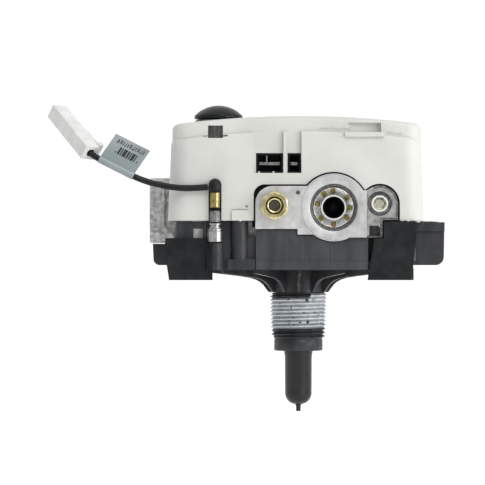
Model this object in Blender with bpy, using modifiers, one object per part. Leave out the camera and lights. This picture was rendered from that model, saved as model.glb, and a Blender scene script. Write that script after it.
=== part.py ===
"""Gas control valve and thermostat of a storage water heater, as an assembly of separate pieces.

Run with: blender --background --python part.py

The part stands in metres, +Z up. The origin is on the axis of the tank shank, in the plane of the base's
feet. The shank and the sensor well point down, into the tank. The gas outlet, the pilot fitting and the
pressure tap face the front, -Y. The gas inlet faces -X. The knob and the crowned cover face up.

Every size and place below is in millimetres. The helpers turn them into metres.
"""

import math

import bmesh
import bpy
from mathutils import Matrix, Vector

MM = 0.001
GAP = 0.3  # between pieces that touch
WELD = 0.00001  # metres: the distance within which a modifier merges points
SIDES = 20  # round pieces that show
INNER_SIDES = 12  # small round pieces and holes

# --- cover ---
COVER_WALL = 2.2
COVER_BOTTOM = 27.7
CROWN_TOP = 76.6
CROWN_RADIUS = 447.0
LEDGE_TOP = 69.7
LEDGE_RADIUS = 400.0
COVER_CORNER = 9.0
BAND_FRONT = -45.4  # front of the band above the ledge, and floor of the plug channels
APRON_FRONT = -48.2  # front of the wall below the ledge
COVER_BACK = 46.0
COVER_LEFT = -61.7
COVER_RIGHT = 58.1
COVER_DRAFT = 1.6  # how far each side leans in between the bottom and the ledge

# --- knob, over the safety valve ---
KNOB_X = -38.1
KNOB_Y = -30.0
KNOB_RADIUS = 11.35
KNOB_TOP = 82.0
KNOB_RIM = 77.3
KNOB_BORE = 11.8
PUSH_TRAVEL = 3.0

# --- valve body ---
FACE_FRONT = -50.0  # front of the outlet boss
FACE_BACK = -36.0
TAP_FRONT = -47.5  # front of the lobe round the pressure tap
BODY_LOW = 13.0
BODY_TOP = 42.0
OUTLET_X = 15.7
OUTLET_Z = 33.8
OUTLET_BOSS = 15.8
PORT_RADIUS = 10.4
PILOT_X = -11.9
PILOT_Z = 34.7
TAP_X = 37.1
TAP_Z = 35.6
INLET_END = -70.9
INLET_Z = 32.75
INLET_HALF = 15.45
MAIN_Y = 0.0  # the main valve stands over OUTLET_X, MAIN_Y
SEAT_TOP = 37.5
SAFETY_SEAT = 31.8
BONNET_LOW = 43.2
BONNET_TOP = 47.0
SERVO_X = -19.0
SERVO_Y = 13.0
REGULATOR_X = 27.0
REGULATOR_Y = 25.0

# --- circuit board ---
BOARD_LOW = 60.0
BOARD_TOP = 61.6

# --- base and shank ---
FLOOR_LOW = 4.5
FLOOR_TOP = 7.5
TRAY_TOP = 19.6
WALL_TOP = 23.3
HUB_RADIUS = 13.6
HUB_LOW = -6.3
EAR_REACH = 69.3
THREAD_TOP = -6.6
THREAD_LOW = -28.3
THREADS = 12
THREAD_RADIUS_TOP = 13.55
THREAD_RADIUS_LOW = 12.85
THREAD_DEPTH = 1.25
COLLAR_RADIUS = 11.65
COLLAR_LOW = -34.3
WELL_RADIUS = 6.5
WELL_DOME = -54.7
WELL_END = -60.3
WELL_NUB = -63.4

# --- windows for the two harness plugs, as (low x, high x) ---
WINDOWS = {"wide": (-20.5, -7.9), "narrow": (-5.8, 0.5)}
WINDOW_LOW = 49.9
WINDOW_HIGH = 59.2

# --- sensing lead ---
LEAD_X = -39.6
LEAD_Y = -49.7
LEAD_RADIUS = 1.45
BOOT_LOW = 41.1
BOOT_TOP = 47.0
LEAD_POINTS = [
    (-42.9, -49.7, 43.3),
    (-46.5, -49.7, 43.0),
    (-51.2, -49.7, 42.8),
    (-56.0, -49.7, 42.9),
    (-60.5, -49.7, 43.4),
    (-65.3, -49.7, 44.3),
    (-69.8, -49.7, 45.4),
    (-73.6, -49.7, 46.7),
    (-77.2, -49.7, 48.2),
    (-85.5, -49.7, 52.4),
    (-93.8, -49.7, 56.6),
    (-96.1, -49.2, 58.0),
    (-98.2, -48.0, 59.8),
    (-99.6, -46.3, 61.5),
]
LABEL_ENDS = (8, 10)  # the label wraps the straight stretch between these points
LABEL_THICK = 0.3
LABEL_FLAG = 14.0  # how far the flag stands out from the lead
CONNECTOR_ENTRY = (-97.6, -48.8, 59.2)
CONNECTOR_AXIS = (-0.497, 0.628, 0.598)
CONNECTOR_LATCH = (0.757, 0.650, -0.054)
CONNECTOR_LENGTH = 33.4
CONNECTOR_WIDE = 7.2
CONNECTOR_DEEP = 8.3

# --- screws, as (x, y) ---
COVER_SCREWS = [(-28.4, -45.0), (50.3, -39.0), (-52.0, 38.0), (48.0, 38.0)]
BONNET_SCREWS = [(38.0, -24.0), (38.0, 16.0), (-40.0, 26.0), (-8.0, -25.0)]
BASE_SCREWS = [(-22.0, 29.0), (41.0, 28.0)]


# --------------------------------------------------------------------------- scene and materials

for thing in list(bpy.data.objects):
    bpy.data.objects.remove(thing)


def new_collection(name, shown=True):
    found = bpy.data.collections.new(name)
    bpy.context.scene.collection.children.link(found)
    found.hide_render = not shown
    return found


PARTS = new_collection("gas_control_valve")
HELPERS = new_collection("cutters", shown=False)


def new_material(name, colour, roughness, metallic=0.0):
    made = bpy.data.materials.new(name)
    made.use_nodes = True
    shader = made.node_tree.nodes["Principled BSDF"]
    shader.inputs["Base Color"].default_value = (*colour, 1.0)
    shader.inputs["Roughness"].default_value = roughness
    shader.inputs["Metallic"].default_value = metallic
    return made


WHITE_PLASTIC = new_material("cover_plastic", (0.72, 0.72, 0.68), 0.45)
BLACK_PLASTIC = new_material("base_plastic", (0.035, 0.037, 0.04), 0.5)
KNOB_PLASTIC = new_material("knob_plastic", (0.03, 0.033, 0.036), 0.3)
CAST_METAL = new_material("die_cast_aluminium", (0.6, 0.6, 0.6), 0.45, 1.0)
BRASS = new_material("brass", (0.75, 0.58, 0.25), 0.25, 1.0)
STEEL = new_material("plated_steel", (0.65, 0.65, 0.65), 0.3, 1.0)
RUBBER = new_material("rubber", (0.02, 0.02, 0.02), 0.7)
NYLON = new_material("natural_nylon", (0.8, 0.79, 0.75), 0.4)
BOARD_GREEN = new_material("board_laminate", (0.04, 0.2, 0.08), 0.5)
COPPER = new_material("copper_winding", (0.55, 0.22, 0.08), 0.35, 1.0)
LABEL_FILM = new_material("label_film", (0.62, 0.67, 0.7), 0.4)
LENS = new_material("lens_plastic", (0.1, 0.35, 0.12), 0.15)


# --------------------------------------------------------------------------- helpers


def place(name, mesh, material):
    """A new object. Without a material it is a helper: a cutter, or a shape that is joined to another."""
    made = bpy.data.objects.new(name, mesh)
    if material is None:
        HELPERS.objects.link(made)
        made.hide_render = True
        made.display_type = "WIRE"
    else:
        PARTS.objects.link(made)
        mesh.materials.append(material)
    return made


def from_bmesh(name, bm, material):
    mesh = bpy.data.meshes.new(name)
    bmesh.ops.recalc_face_normals(bm, faces=bm.faces)
    bm.to_mesh(mesh)
    bm.free()
    return place(name, mesh, material)


def round_edges(target, width, segments=2, angle=40.0):
    bevel = target.modifiers.new("rounded_edges", "BEVEL")
    bevel.width = width * MM
    bevel.segments = segments
    bevel.limit_method = "ANGLE"
    bevel.angle_limit = math.radians(angle)


def box(name, low, high, material=None):
    bm = bmesh.new()
    bmesh.ops.create_cube(bm, size=1.0)
    low, high = Vector(low) * MM, Vector(high) * MM
    size = high - low
    bmesh.ops.scale(bm, vec=size, verts=bm.verts)
    bmesh.ops.translate(bm, vec=(low + high) / 2, verts=bm.verts)
    return from_bmesh(name, bm, material)


def rod(name, radius, start, end, material=None, sides=INNER_SIDES, end_radius=None):
    """A cylinder, or a cone, from start to end."""
    start, end = Vector(start) * MM, Vector(end) * MM
    bm = bmesh.new()
    bmesh.ops.create_cone(
        bm,
        cap_ends=True,
        segments=sides,
        radius1=radius * MM,
        radius2=(radius if end_radius is None else end_radius) * MM,
        depth=(end - start).length,
    )
    turn = (end - start).to_track_quat("Z", "Y").to_matrix().to_4x4()
    bmesh.ops.transform(bm, matrix=Matrix.Translation((start + end) / 2) @ turn, verts=bm.verts)
    made = from_bmesh(name, bm, material)
    made.data.shade_smooth()
    made.data.set_sharp_from_angle(angle=math.radians(35))
    return made


FACING = {
    "up": Matrix.Identity(4),
    "front": Matrix.Rotation(math.radians(90), 4, "X"),
    "left": Matrix.Rotation(math.radians(-90), 4, "Y"),
}


def turned(name, profile, at, material=None, sides=SIDES, facing="up"):
    """A turned piece. The profile holds (radius, height) from its top, down its outer side.

    It ends on the axis at both ends, or runs on round to its first point, as a ring's does.
    """
    mesh = bpy.data.meshes.new(name)
    points = [(radius * MM, 0.0, height * MM) for radius, height in profile]
    edges = [(i, i + 1) for i in range(len(points) - 1)]
    if profile[0][0] > 0 or profile[-1][0] > 0:
        edges.append((len(points) - 1, 0))
    mesh.from_pydata(points, edges, [])
    made = place(name, mesh, material)
    made.matrix_world = Matrix.Translation(Vector(at) * MM) @ FACING[facing]
    screw = made.modifiers.new("turned", "SCREW")
    screw.steps = sides
    screw.render_steps = sides
    screw.use_merge_vertices = True
    screw.merge_threshold = WELD
    return made


def slab(name, outline, axis, low, high, material=None):
    """A flat outline given thickness along an axis: (x, z) points for Y, (x, y) for Z, (y, z) for X."""
    curve = bpy.data.curves.new(name, "CURVE")
    curve.dimensions = "2D"
    curve.fill_mode = "BOTH"
    curve.extrude = abs(high - low) / 2 * MM
    spline = curve.splines.new("POLY")
    spline.points.add(len(outline) - 1)
    spline.use_cyclic_u = True
    for point, (across, up) in zip(spline.points, outline):
        point.co = (across * MM, up * MM, 0.0, 1.0)
    guide = bpy.data.objects.new(name + "_outline", curve)
    HELPERS.objects.link(guide)
    bpy.context.view_layer.update()
    mesh = bpy.data.meshes.new_from_object(guide.evaluated_get(bpy.context.evaluated_depsgraph_get()))
    bpy.data.objects.remove(guide)
    middle = (low + high) / 2 * MM
    turns = {
        "X": Matrix(((0, 0, 1, middle), (1, 0, 0, 0), (0, 1, 0, 0), (0, 0, 0, 1))),
        "Y": Matrix.Translation((0, middle, 0)) @ FACING["front"],
        "Z": Matrix.Translation((0, 0, middle)),
    }
    mesh.transform(turns[axis])
    bm = bmesh.new()
    bm.from_mesh(mesh)
    bmesh.ops.remove_doubles(bm, verts=bm.verts, dist=WELD)
    bpy.data.meshes.remove(mesh)
    return from_bmesh(name, bm, material)


def arc(centre, radius, first, last, steps=6):
    """Points on a circle, from one angle to another, in degrees."""
    angles = [math.radians(first + (last - first) * i / steps) for i in range(steps + 1)]
    return [(centre[0] + radius * math.cos(a), centre[1] + radius * math.sin(a)) for a in angles]


def combine(target, other, operation):
    boolean = target.modifiers.new(other.name, "BOOLEAN")
    boolean.operation = operation
    boolean.object = other
    boolean.solver = "EXACT"


def cut(target, *others):
    for other in others:
        combine(target, other, "DIFFERENCE")


def join(target, *others):
    for other in others:
        combine(target, other, "UNION")


def wire(name, points, radius, material, resolution=2):
    """A round wire along a line of points."""
    curve = bpy.data.curves.new(name, "CURVE")
    curve.dimensions = "3D"
    curve.bevel_depth = radius * MM
    curve.bevel_resolution = resolution
    curve.use_fill_caps = True
    spline = curve.splines.new("POLY")
    spline.points.add(len(points) - 1)
    for knot, point in zip(spline.points, points):
        knot.co = (*(Vector(point) * MM), 1.0)
    return place(name, curve, material)


def spring(name, at, radius, wire_radius, low, high, turns, material=STEEL):
    """A coil spring that stands on end between two heights."""
    steps = turns * 8
    points = []
    for i in range(steps + 1):
        angle = 2 * math.pi * i / 8
        height = low + wire_radius + (high - low - 2 * wire_radius) * i / steps
        points.append((at[0] + radius * math.cos(angle), at[1] + radius * math.sin(angle), height))
    return wire(name, points, wire_radius, material, resolution=0)


def smooth_line(points, step):
    """Points a step apart along a Catmull-Rom curve through the given ones."""
    knots = [Vector(p) for p in points]
    knots = [2 * knots[0] - knots[1], *knots, 2 * knots[-1] - knots[-2]]
    line = [knots[1]]
    for before, a, b, after in zip(knots, knots[1:], knots[2:], knots[3:]):
        count = max(1, round((b - a).length / step))
        for i in range(1, count + 1):
            t = i / count
            bend = (2 * a) + (b - before) * t + (2 * before - 5 * a + 4 * b - after) * t**2
            line.append((bend + (3 * a - before - 3 * b + after) * t**3) / 2)
    return line


def crown(x, top, radius):
    return top - x * x / (2 * radius)


def crowned_block(name, x_range, y_range, low, top, radius, draft, corner, rim, material=None):
    """A block with round upright corners, sides that lean in by draft, and a crowned top with a round rim."""
    bm = bmesh.new()
    bmesh.ops.create_cube(bm, size=1.0)
    for v in bm.verts:
        x, y = (x_range[v.co.x > 0], y_range[v.co.y > 0])
        v.co = Vector((x, y, low if v.co.z < 0 else top)) * MM
    upright = [e for e in bm.edges if abs(e.verts[0].co.z - e.verts[1].co.z) > MM]
    bmesh.ops.bevel(bm, geom=upright, offset=corner * MM, segments=4, profile=0.5, affect="EDGES")
    slices = 8
    for i in range(1, slices):
        x = x_range[0] + corner + (x_range[1] - x_range[0] - 2 * corner) * (i - 1) / (slices - 2)
        geometry = bm.verts[:] + bm.edges[:] + bm.faces[:]
        bmesh.ops.bisect_plane(bm, geom=geometry, plane_co=(x * MM, 0, 0), plane_no=(1, 0, 0), dist=1e-7)
    half_x = (x_range[1] - x_range[0]) / 2 * MM
    half_y = (y_range[1] - y_range[0]) / 2 * MM
    middle = Vector((sum(x_range) / 2 * MM, sum(y_range) / 2 * MM, 0))
    for v in bm.verts:
        if v.co.z > (low + 1) * MM:
            v.co.x = middle.x + (v.co.x - middle.x) * (1 - draft * MM / half_x)
            v.co.y = middle.y + (v.co.y - middle.y) * (1 - draft / 2 * MM / half_y)
            v.co.z = crown(v.co.x / MM, top, radius) * MM
    bm.normal_update()
    rims = [e for e in bm.edges if len(e.link_faces) == 2]
    rims = [e for e in rims if max(f.normal.z for f in e.link_faces) > 0.7]
    rims = [e for e in rims if abs(min(f.normal.z for f in e.link_faces)) < 0.3]
    if rim:
        bmesh.ops.bevel(bm, geom=rims, offset=rim * MM, segments=2, profile=0.5, affect="EDGES")
    return from_bmesh(name, bm, material)


# --------------------------------------------------------------------------- cover and knob


def face_outline(grow):
    """The outline of the valve body's face as (x, z), grown by a clearance. Its right part is the tap lobe."""
    left, top, low = -20.8 - grow, 43.8 + grow, 23.8 - grow
    step_x, step_low = -1.2 - grow, 21.2 - grow
    boss = OUTLET_BOSS + grow
    lobe = 8.5 + grow
    right, tab_x, tab_low, heel = 45.7 + grow, 38.5 + grow, 19.8 - grow, 28.0 - grow
    outlet = (OUTLET_X, OUTLET_Z)
    tap = (right - lobe, TAP_Z)

    def angle_at(height):
        return math.degrees(math.asin((height - OUTLET_Z) / boss))

    points = [(step_x, step_low), (step_x, low), (left, low)]
    points += arc((left + 8.0, top - 8.0), 8.0, 180, 90, 4)
    points += arc(outlet, boss, 180 - angle_at(top), 30, 8)
    points += arc(tap, lobe, 132, 0, 6)
    points += [(right, heel), (tab_x, heel), (tab_x, tab_low)]
    points += arc(outlet, boss, angle_at(tab_low), -180 - angle_at(step_low), 6)
    return points


def make_cover():
    apron_x = (COVER_LEFT, COVER_RIGHT)
    apron_y = (APRON_FRONT, COVER_BACK + 0.8)
    band_x = (COVER_LEFT + COVER_DRAFT + 0.2, COVER_RIGHT - COVER_DRAFT + 0.5)
    band_y = (BAND_FRONT, COVER_BACK)
    wall, corner, draft = COVER_WALL, COVER_CORNER, COVER_DRAFT
    cover = crowned_block(
        "cover", apron_x, apron_y, COVER_BOTTOM, LEDGE_TOP, LEDGE_RADIUS, draft, corner, 1.8, WHITE_PLASTIC
    )
    band = crowned_block("cover_band", band_x, band_y, 40, CROWN_TOP, CROWN_RADIUS, 0.3, corner - 1.5, 2.4)

    def shrunk(pair):
        return (pair[0] + wall, pair[1] - wall)

    inner_x, inner_y, inner_corner = shrunk(band_x), shrunk(band_y), corner - 1.5 - wall
    inner_band = crowned_block(
        "cover_band_hollow", inner_x, inner_y, 38, CROWN_TOP - wall, CROWN_RADIUS, 0.3, inner_corner, 0
    )
    inner_x, inner_y = shrunk(apron_x), shrunk(apron_y)
    inner_apron = crowned_block(
        "cover_apron_hollow", inner_x, inner_y, 20, LEDGE_TOP - wall, LEDGE_RADIUS, draft, 7.0, 0
    )
    join(cover, band)
    cut(cover, inner_band, inner_apron)
    add_cover_bosses(cover)
    cut_cover_front(cover)
    cut_cover_top(cover)
    return cover


def add_cover_bosses(cover):
    """The round bosses that take the cover screws, the board's posts and the tube round the knob."""
    low = COVER_BOTTOM + 0.5
    for i, (x, y) in enumerate(COVER_SCREWS):
        top = 32.2 if y < -40 else 40
        boss = rod(f"cover_boss_{i}", 4.2, (x, y, COVER_BOTTOM), (x, y, top))
        join(cover, boss)
        if y < -40:
            join(cover, rod("cover_screw_pad", 5.0, (x, y, COVER_BOTTOM), (x, y, 32.6)))
        if y > 0:
            join(cover, box(f"cover_boss_web_{i}", (x - 1, y, COVER_BOTTOM), (x + 1, COVER_BACK - 1, 39)))
        if x > 0:
            join(cover, box(f"cover_boss_rib_{i}", (x, y - 1, low), (COVER_RIGHT - 1.2, y + 1, 38)))
        if x < -40:
            join(cover, box(f"cover_boss_rib_{i}", (COVER_LEFT + 1.2, y - 1, low), (x, y + 1, 38)))
    for i, (x, y) in enumerate([(-48, 30), (44, 30), (44, -30)]):
        join(cover, rod(f"board_post_{i}", 3.0, (x, y, BOARD_TOP + GAP), (x, y, 73.2), sides=12))
    join(cover, rod("knob_tube", KNOB_BORE + 1.5, (KNOB_X, KNOB_Y, 63.0), (KNOB_X, KNOB_Y, 73.4), sides=SIDES))
    for i, (x, y) in enumerate(COVER_SCREWS):
        cut(cover, rod(f"cover_screw_hole_{i}", 1.8, (x, y, 20), (x, y, 38), sides=12))


def cut_cover_front(cover):
    """The face opening, the lead's slot, the plug channels and windows, the knob slot and the latch pocket."""
    face = slab("face_opening", face_outline(0.8), "Y", -60, -40)
    below = box("face_opening_below", (-21.6, -60, 20), (46.5, -40, 30))
    cut(cover, face, below)
    slot_half = 3.0
    slot_top = [(LEAD_X + slot_half, 20)]
    slot_top += arc((LEAD_X, BOOT_TOP + GAP - slot_half), slot_half, 0, 180, 6)
    slot_top += [(LEAD_X - slot_half, 20)]
    cut(cover, slab("lead_slot", slot_top, "Y", -60, -42.6))
    join(cover, box("channel_back", (-22.3, -46.4, 48.6), (1.3, -43.7, 67.0)))
    for kind, (low, high) in WINDOWS.items():
        channel_low = low - (1.2 if kind == "wide" else 0.5)
        cut(cover, box(f"channel_{kind}", (channel_low, -60, WINDOW_LOW), (high + 0.2, BAND_FRONT, 75)))
        cut(cover, box(f"window_{kind}", (low, -60, WINDOW_LOW), (high, -42, WINDOW_HIGH)))
    cut(cover, box("knob_notch", (-42.9, -60, 66.2), (-35.9, -38, 72.1)))
    cut(cover, box("ledge_slit", (-45.0, BAND_FRONT - 1.0, 66.8), (-33.6, BAND_FRONT + 0.2, 72)))
    join(cover, box("latch_sill", (21.0, BAND_FRONT - 2.3, 66.8), (39.2, BAND_FRONT + 1, 69.1)))
    join(cover, box("pocket_back", (21.4, BAND_FRONT + 0.6, 66.3), (39.0, BAND_FRONT + 4.4, 73.1)))
    cut(cover, box("latch_pocket", (22.6, -60, 68.95), (37.8, BAND_FRONT + 3.2, 72.7)))
    cut(cover, box("inlet_opening", (-75, -INLET_HALF - 0.8, 20), (-54, INLET_HALF + 0.8, 49.0)))


def cut_cover_top(cover):
    cut(cover, rod("knob_hole", KNOB_BORE, (KNOB_X, KNOB_Y, 60), (KNOB_X, KNOB_Y, 90), sides=SIDES))
    cut(cover, rod("lens_hole", 2.8, (LENS_X, LENS_Y, 68), (LENS_X, LENS_Y, 90), sides=12))


LENS_X = -12.0
LENS_Y = -30.0


def dome(top, rim_height, radius, steps):
    """Profile points over a spherical cap, from the axis to the rim."""
    rise = top - rim_height
    ball = (radius**2 + rise**2) / (2 * rise)
    widest = math.asin(radius / ball)
    angles = [widest * i / steps for i in range(steps + 1)]
    return [(ball * math.sin(a), top - ball + ball * math.cos(a)) for a in angles]


def make_knob():
    profile = dome(KNOB_TOP, KNOB_RIM, KNOB_RADIUS, 4)
    profile += [(KNOB_RADIUS, 75.8), (11.0, 75.6), (11.0, 64.6), (9.4, 64.6), (9.4, 74.0)]
    profile += [(4.5, 74.0), (4.5, 57.5), (2.7, 57.5), (2.7, 72.3), (0, 72.3)]
    return turned("control_knob", profile, (KNOB_X, KNOB_Y, 0), KNOB_PLASTIC)


def make_spindle():
    at = (KNOB_X, KNOB_Y, 0)
    profile = [(0, 72.0), (2.4, 72.0), (2.4, 54.6), (4.3, 54.6), (4.3, 53.8), (2.4, 53.8)]
    profile += [(2.4, 36.0), (1.6, 36.0), (1.6, SAFETY_SEAT + 0.1), (0, SAFETY_SEAT + 0.1)]
    turned("push_spindle", profile, at, STEEL, INNER_SIDES)
    spring("spindle_spring", at, 3.5, 0.4, BONNET_TOP + GAP, 53.5, 4)
    seal = [(3.45 + 0.7 * math.cos(a), 44.4 + 0.7 * math.sin(a)) for a in ring_angles(8)]
    turned("spindle_seal", seal, at, RUBBER, INNER_SIDES)


def ring_angles(count):
    """Angles round a small circle, starting at its top and running down its outer side."""
    return [math.pi / 2 - 2 * math.pi * i / count for i in range(count)]


def ring_profile(inner, outer, low, high):
    return [(inner, high), (outer, high), (outer, low), (inner, low)]


def make_potentiometer():
    at = (KNOB_X, KNOB_Y, 0)
    turned("potentiometer_body", ring_profile(4.8, 9.0, BONNET_TOP + GAP, 54.8), at, BLACK_PLASTIC, INNER_SIDES)
    turned("potentiometer_rotor", ring_profile(4.8, 7.0, 55.1, 59.2), at, NYLON, INNER_SIDES)


# --------------------------------------------------------------------------- valve body and what is in it


def make_valve_body():
    body = box("valve_body", (-46, FACE_BACK - 0.1, BODY_LOW), (46, 34, BODY_TOP), CAST_METAL)
    face = face_outline(0)
    lobe_edge = 30.9
    join(body, slab("valve_face", face, "Y", FACE_FRONT, FACE_BACK + 1))
    cut(body, box("tap_setback", (lobe_edge, -60, 10), (60, TAP_FRONT, 60)))
    join(body, rod("safety_tower", 12.5, (KNOB_X, KNOB_Y, BODY_LOW), (KNOB_X, KNOB_Y, BODY_TOP), sides=SIDES))
    join(body, make_inlet_boss())
    cut_main_chamber(body)
    cut_safety_chamber(body)
    cut_face_ports(body)
    for i, (x, y) in enumerate(BONNET_SCREWS):
        cut(body, rod(f"body_bonnet_hole_{i}", 1.9, (x, y, 35), (x, y, 45), sides=10))
    for i, (x, y) in enumerate(BASE_SCREWS):
        cut(body, rod(f"body_base_hole_{i}", 1.9, (x, y, 10), (x, y, 22), sides=10))
    return body


def make_inlet_boss():
    """A square boss with well-rounded corners, bored along X."""
    half, corner = INLET_HALF, 6.0
    outline = []
    for sign_y, sign_z, first in ((1, 1, 0), (-1, 1, 90), (-1, -1, 180), (1, -1, 270)):
        centre = (sign_y * (half - corner), INLET_Z + sign_z * (half - corner))
        outline += arc(centre, corner, first, first + 90, 3)
    return slab("inlet_boss", outline, "X", INLET_END, -44)


def cut_main_chamber(body):
    """The chamber round the main seat, the seat's chimney, and the duct from it to the outlet."""
    at = (OUTLET_X, MAIN_Y)
    cut(body, rod("main_chamber", 17.0, (*at, 22), (*at, 50), sides=SIDES))
    join(body, rod("seat_chimney", 10.0, (*at, 20), (*at, SEAT_TOP), sides=SIDES))
    port_floor = (OUTLET_X, -38.0, OUTLET_Z)
    duct_end = (OUTLET_X, MAIN_Y - 3.0, 29.0)
    join(body, rod("outlet_duct_wall", 7.0, (OUTLET_X, -20.0, 31.3), (OUTLET_X, MAIN_Y - 5.0, 29.2)))
    cut(body, rod("seat_bore", 7.2, (*at, 24), (*at, 60), sides=INNER_SIDES))
    cut(body, rod("outlet_duct", 5.1, port_floor, duct_end))


def cut_safety_chamber(body):
    """The chamber for the magnet and its valve, the seat over it, and the drillings to and from it."""
    at = (KNOB_X, KNOB_Y)
    cut(body, rod("safety_chamber", 9.5, (*at, 5), (*at, SAFETY_SEAT), sides=SIDES))
    cut(body, rod("safety_seat", 4.0, (*at, 30), (*at, 36)))
    cut(body, rod("safety_outlet", 6.0, (*at, SAFETY_SEAT + 2.2), (*at, 50)))
    cut(body, rod("gallery", 3.0, (KNOB_X + 3, KNOB_Y + 2, 38.0), (OUTLET_X - 12, MAIN_Y - 4, 38.0), sides=12))
    cut(body, rod("inlet_bore", 7.6, (-60, 0, INLET_Z), (-43, 0, INLET_Z)))
    cut(body, rod("inlet_drilling", 5.2, (-47, 1.5, 30.5), (KNOB_X, KNOB_Y + 4, 25.0)))
    mouth, root = (INLET_END - 1, 0, INLET_Z), (-57, 0, INLET_Z)
    cut(body, rod("inlet_thread", PORT_RADIUS, mouth, root, None, SIDES, 9.6))


def cut_face_ports(body):
    port = (OUTLET_X, FACE_FRONT - 1, OUTLET_Z)
    cut(body, rod("outlet_thread", PORT_RADIUS, port, (OUTLET_X, -38.5, OUTLET_Z), None, SIDES, 9.9))
    cut(body, rod("pilot_hole", 4.6, (PILOT_X, -55, PILOT_Z), (PILOT_X, -40, PILOT_Z)))
    cut(body, rod("pilot_drilling", 1.6, (PILOT_X, -42, PILOT_Z), (PILOT_X, -14, PILOT_Z + 1.5), sides=10))
    cut(body, rod("tap_spotface", 5.4, (TAP_X, -55, TAP_Z), (TAP_X, TAP_FRONT + 1.6, TAP_Z)))
    cut(body, rod("tap_hole", 3.9, (TAP_X, -48, TAP_Z), (TAP_X, -36, TAP_Z)))
    cut(body, rod("tap_drilling", 1.2, (TAP_X, -38, TAP_Z), (OUTLET_X + 3, -34.5, TAP_Z - 1), sides=8))
    cut(body, rod("locating_hole", 1.0, (-1.0, -55, 40.75), (-1.0, -46, 40.75), sides=10))
    cut(body, box("face_pocket", (31.6, -60, 20.6), (37.2, -43.5, 24.8)))


def bonnet_outline(shrink=0.0):
    """The outline that the bonnet and the diaphragm share, as (x, y)."""
    low_x, high_x, low_y, high_y = -44 + shrink, 42.5 - shrink, -30 + shrink, 31.5 - shrink
    lobe = 11.5 - shrink
    start = math.degrees(math.acos((low_x - KNOB_X) / lobe))
    points = [(low_x, high_y), (low_x, KNOB_Y + lobe * math.sin(math.radians(start)))]
    points += arc((KNOB_X, KNOB_Y), lobe, start, 360, 10)
    points += [(KNOB_X + lobe, low_y), (high_x, low_y), (high_x, high_y)]
    return [p for i, p in enumerate(points) if i == 0 or (Vector(p) - Vector(points[i - 1])).length > 0.1]


def make_bonnet():
    bonnet = slab("bonnet", bonnet_outline(), "Z", BONNET_LOW, BONNET_TOP, CAST_METAL)
    at = (OUTLET_X, MAIN_Y)
    join(bonnet, rod("bonnet_dome", 19.0, (*at, BONNET_LOW + 1), (*at, 51.5), sides=SIDES))
    tower = (REGULATOR_X, REGULATOR_Y)
    join(bonnet, rod("regulator_tower", 6.4, (*tower, BONNET_LOW + 1), (*tower, 56.0)))
    cut(bonnet, rod("servo_chamber", 16.0, (*at, 40), (*at, 49.3), sides=SIDES))
    cut(bonnet, rod("regulator_bore", 4.6, (*tower, 45.5), (*tower, 60)))
    cut(bonnet, rod("spindle_bore", 2.7, (KNOB_X, KNOB_Y, 40), (KNOB_X, KNOB_Y, 50), sides=12))
    cut(bonnet, rod("seal_groove", 4.5, (KNOB_X, KNOB_Y, 40), (KNOB_X, KNOB_Y, 45.5), sides=12))
    cut(bonnet, rod("servo_bore", 3.6, (SERVO_X, SERVO_Y, 40), (SERVO_X, SERVO_Y, 50), sides=12))
    for i, (x, y) in enumerate(BONNET_SCREWS):
        cut(bonnet, rod(f"bonnet_hole_{i}", 1.9, (x, y, 40), (x, y, 50), sides=10))


def make_diaphragm():
    sheet = slab("diaphragm", bonnet_outline(0.5), "Z", BODY_TOP + GAP, BONNET_LOW - GAP, RUBBER)
    cut(sheet, rod("diaphragm_stem_hole", 2.6, (OUTLET_X, MAIN_Y, 40), (OUTLET_X, MAIN_Y, 45), sides=12))
    cut(sheet, rod("diaphragm_spindle_hole", 6.2, (KNOB_X, KNOB_Y, 40), (KNOB_X, KNOB_Y, 45), sides=12))
    for i, (x, y) in enumerate(BONNET_SCREWS):
        cut(sheet, rod(f"diaphragm_hole_{i}", 1.9, (x, y, 40), (x, y, 45), sides=8))


def make_main_valve():
    at = (OUTLET_X, MAIN_Y, 0)
    profile = [(0, 45.5), (2.2, 45.5), (2.2, 44.4), (8.0, 44.4), (8.0, 43.3), (2.2, 43.3)]
    profile += [(2.2, 41.9), (3.0, 41.9), (3.0, 39.8), (9.2, 39.8), (9.2, SEAT_TOP + GAP), (0, SEAT_TOP + GAP)]
    turned("main_valve_disc", profile, at, STEEL)
    spring("main_valve_spring", at, 5.0, 0.45, 44.7, 49.0, 3)


def make_regulator():
    at = (REGULATOR_X, REGULATOR_Y, 0)
    spring("regulator_spring", at, 3.2, 0.4, 45.8, 52.7, 4)
    screw = rod("regulator_adjuster", 4.3, (*at[:2], 53.0), (*at[:2], 55.5), BRASS)
    cut(screw, box("adjuster_slot", (at[0] - 3.4, at[1] - 0.6, 54.5), (at[0] + 3.4, at[1] + 0.6, 57)))
    cap = [(0, 58.6), (7.6, 58.6), (8.2, 58.0), (8.2, 52.0), (6.8, 52.0), (6.8, 56.6), (0, 56.6)]
    turned("regulator_cap", cap, at, BLACK_PLASTIC, INNER_SIDES)


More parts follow.
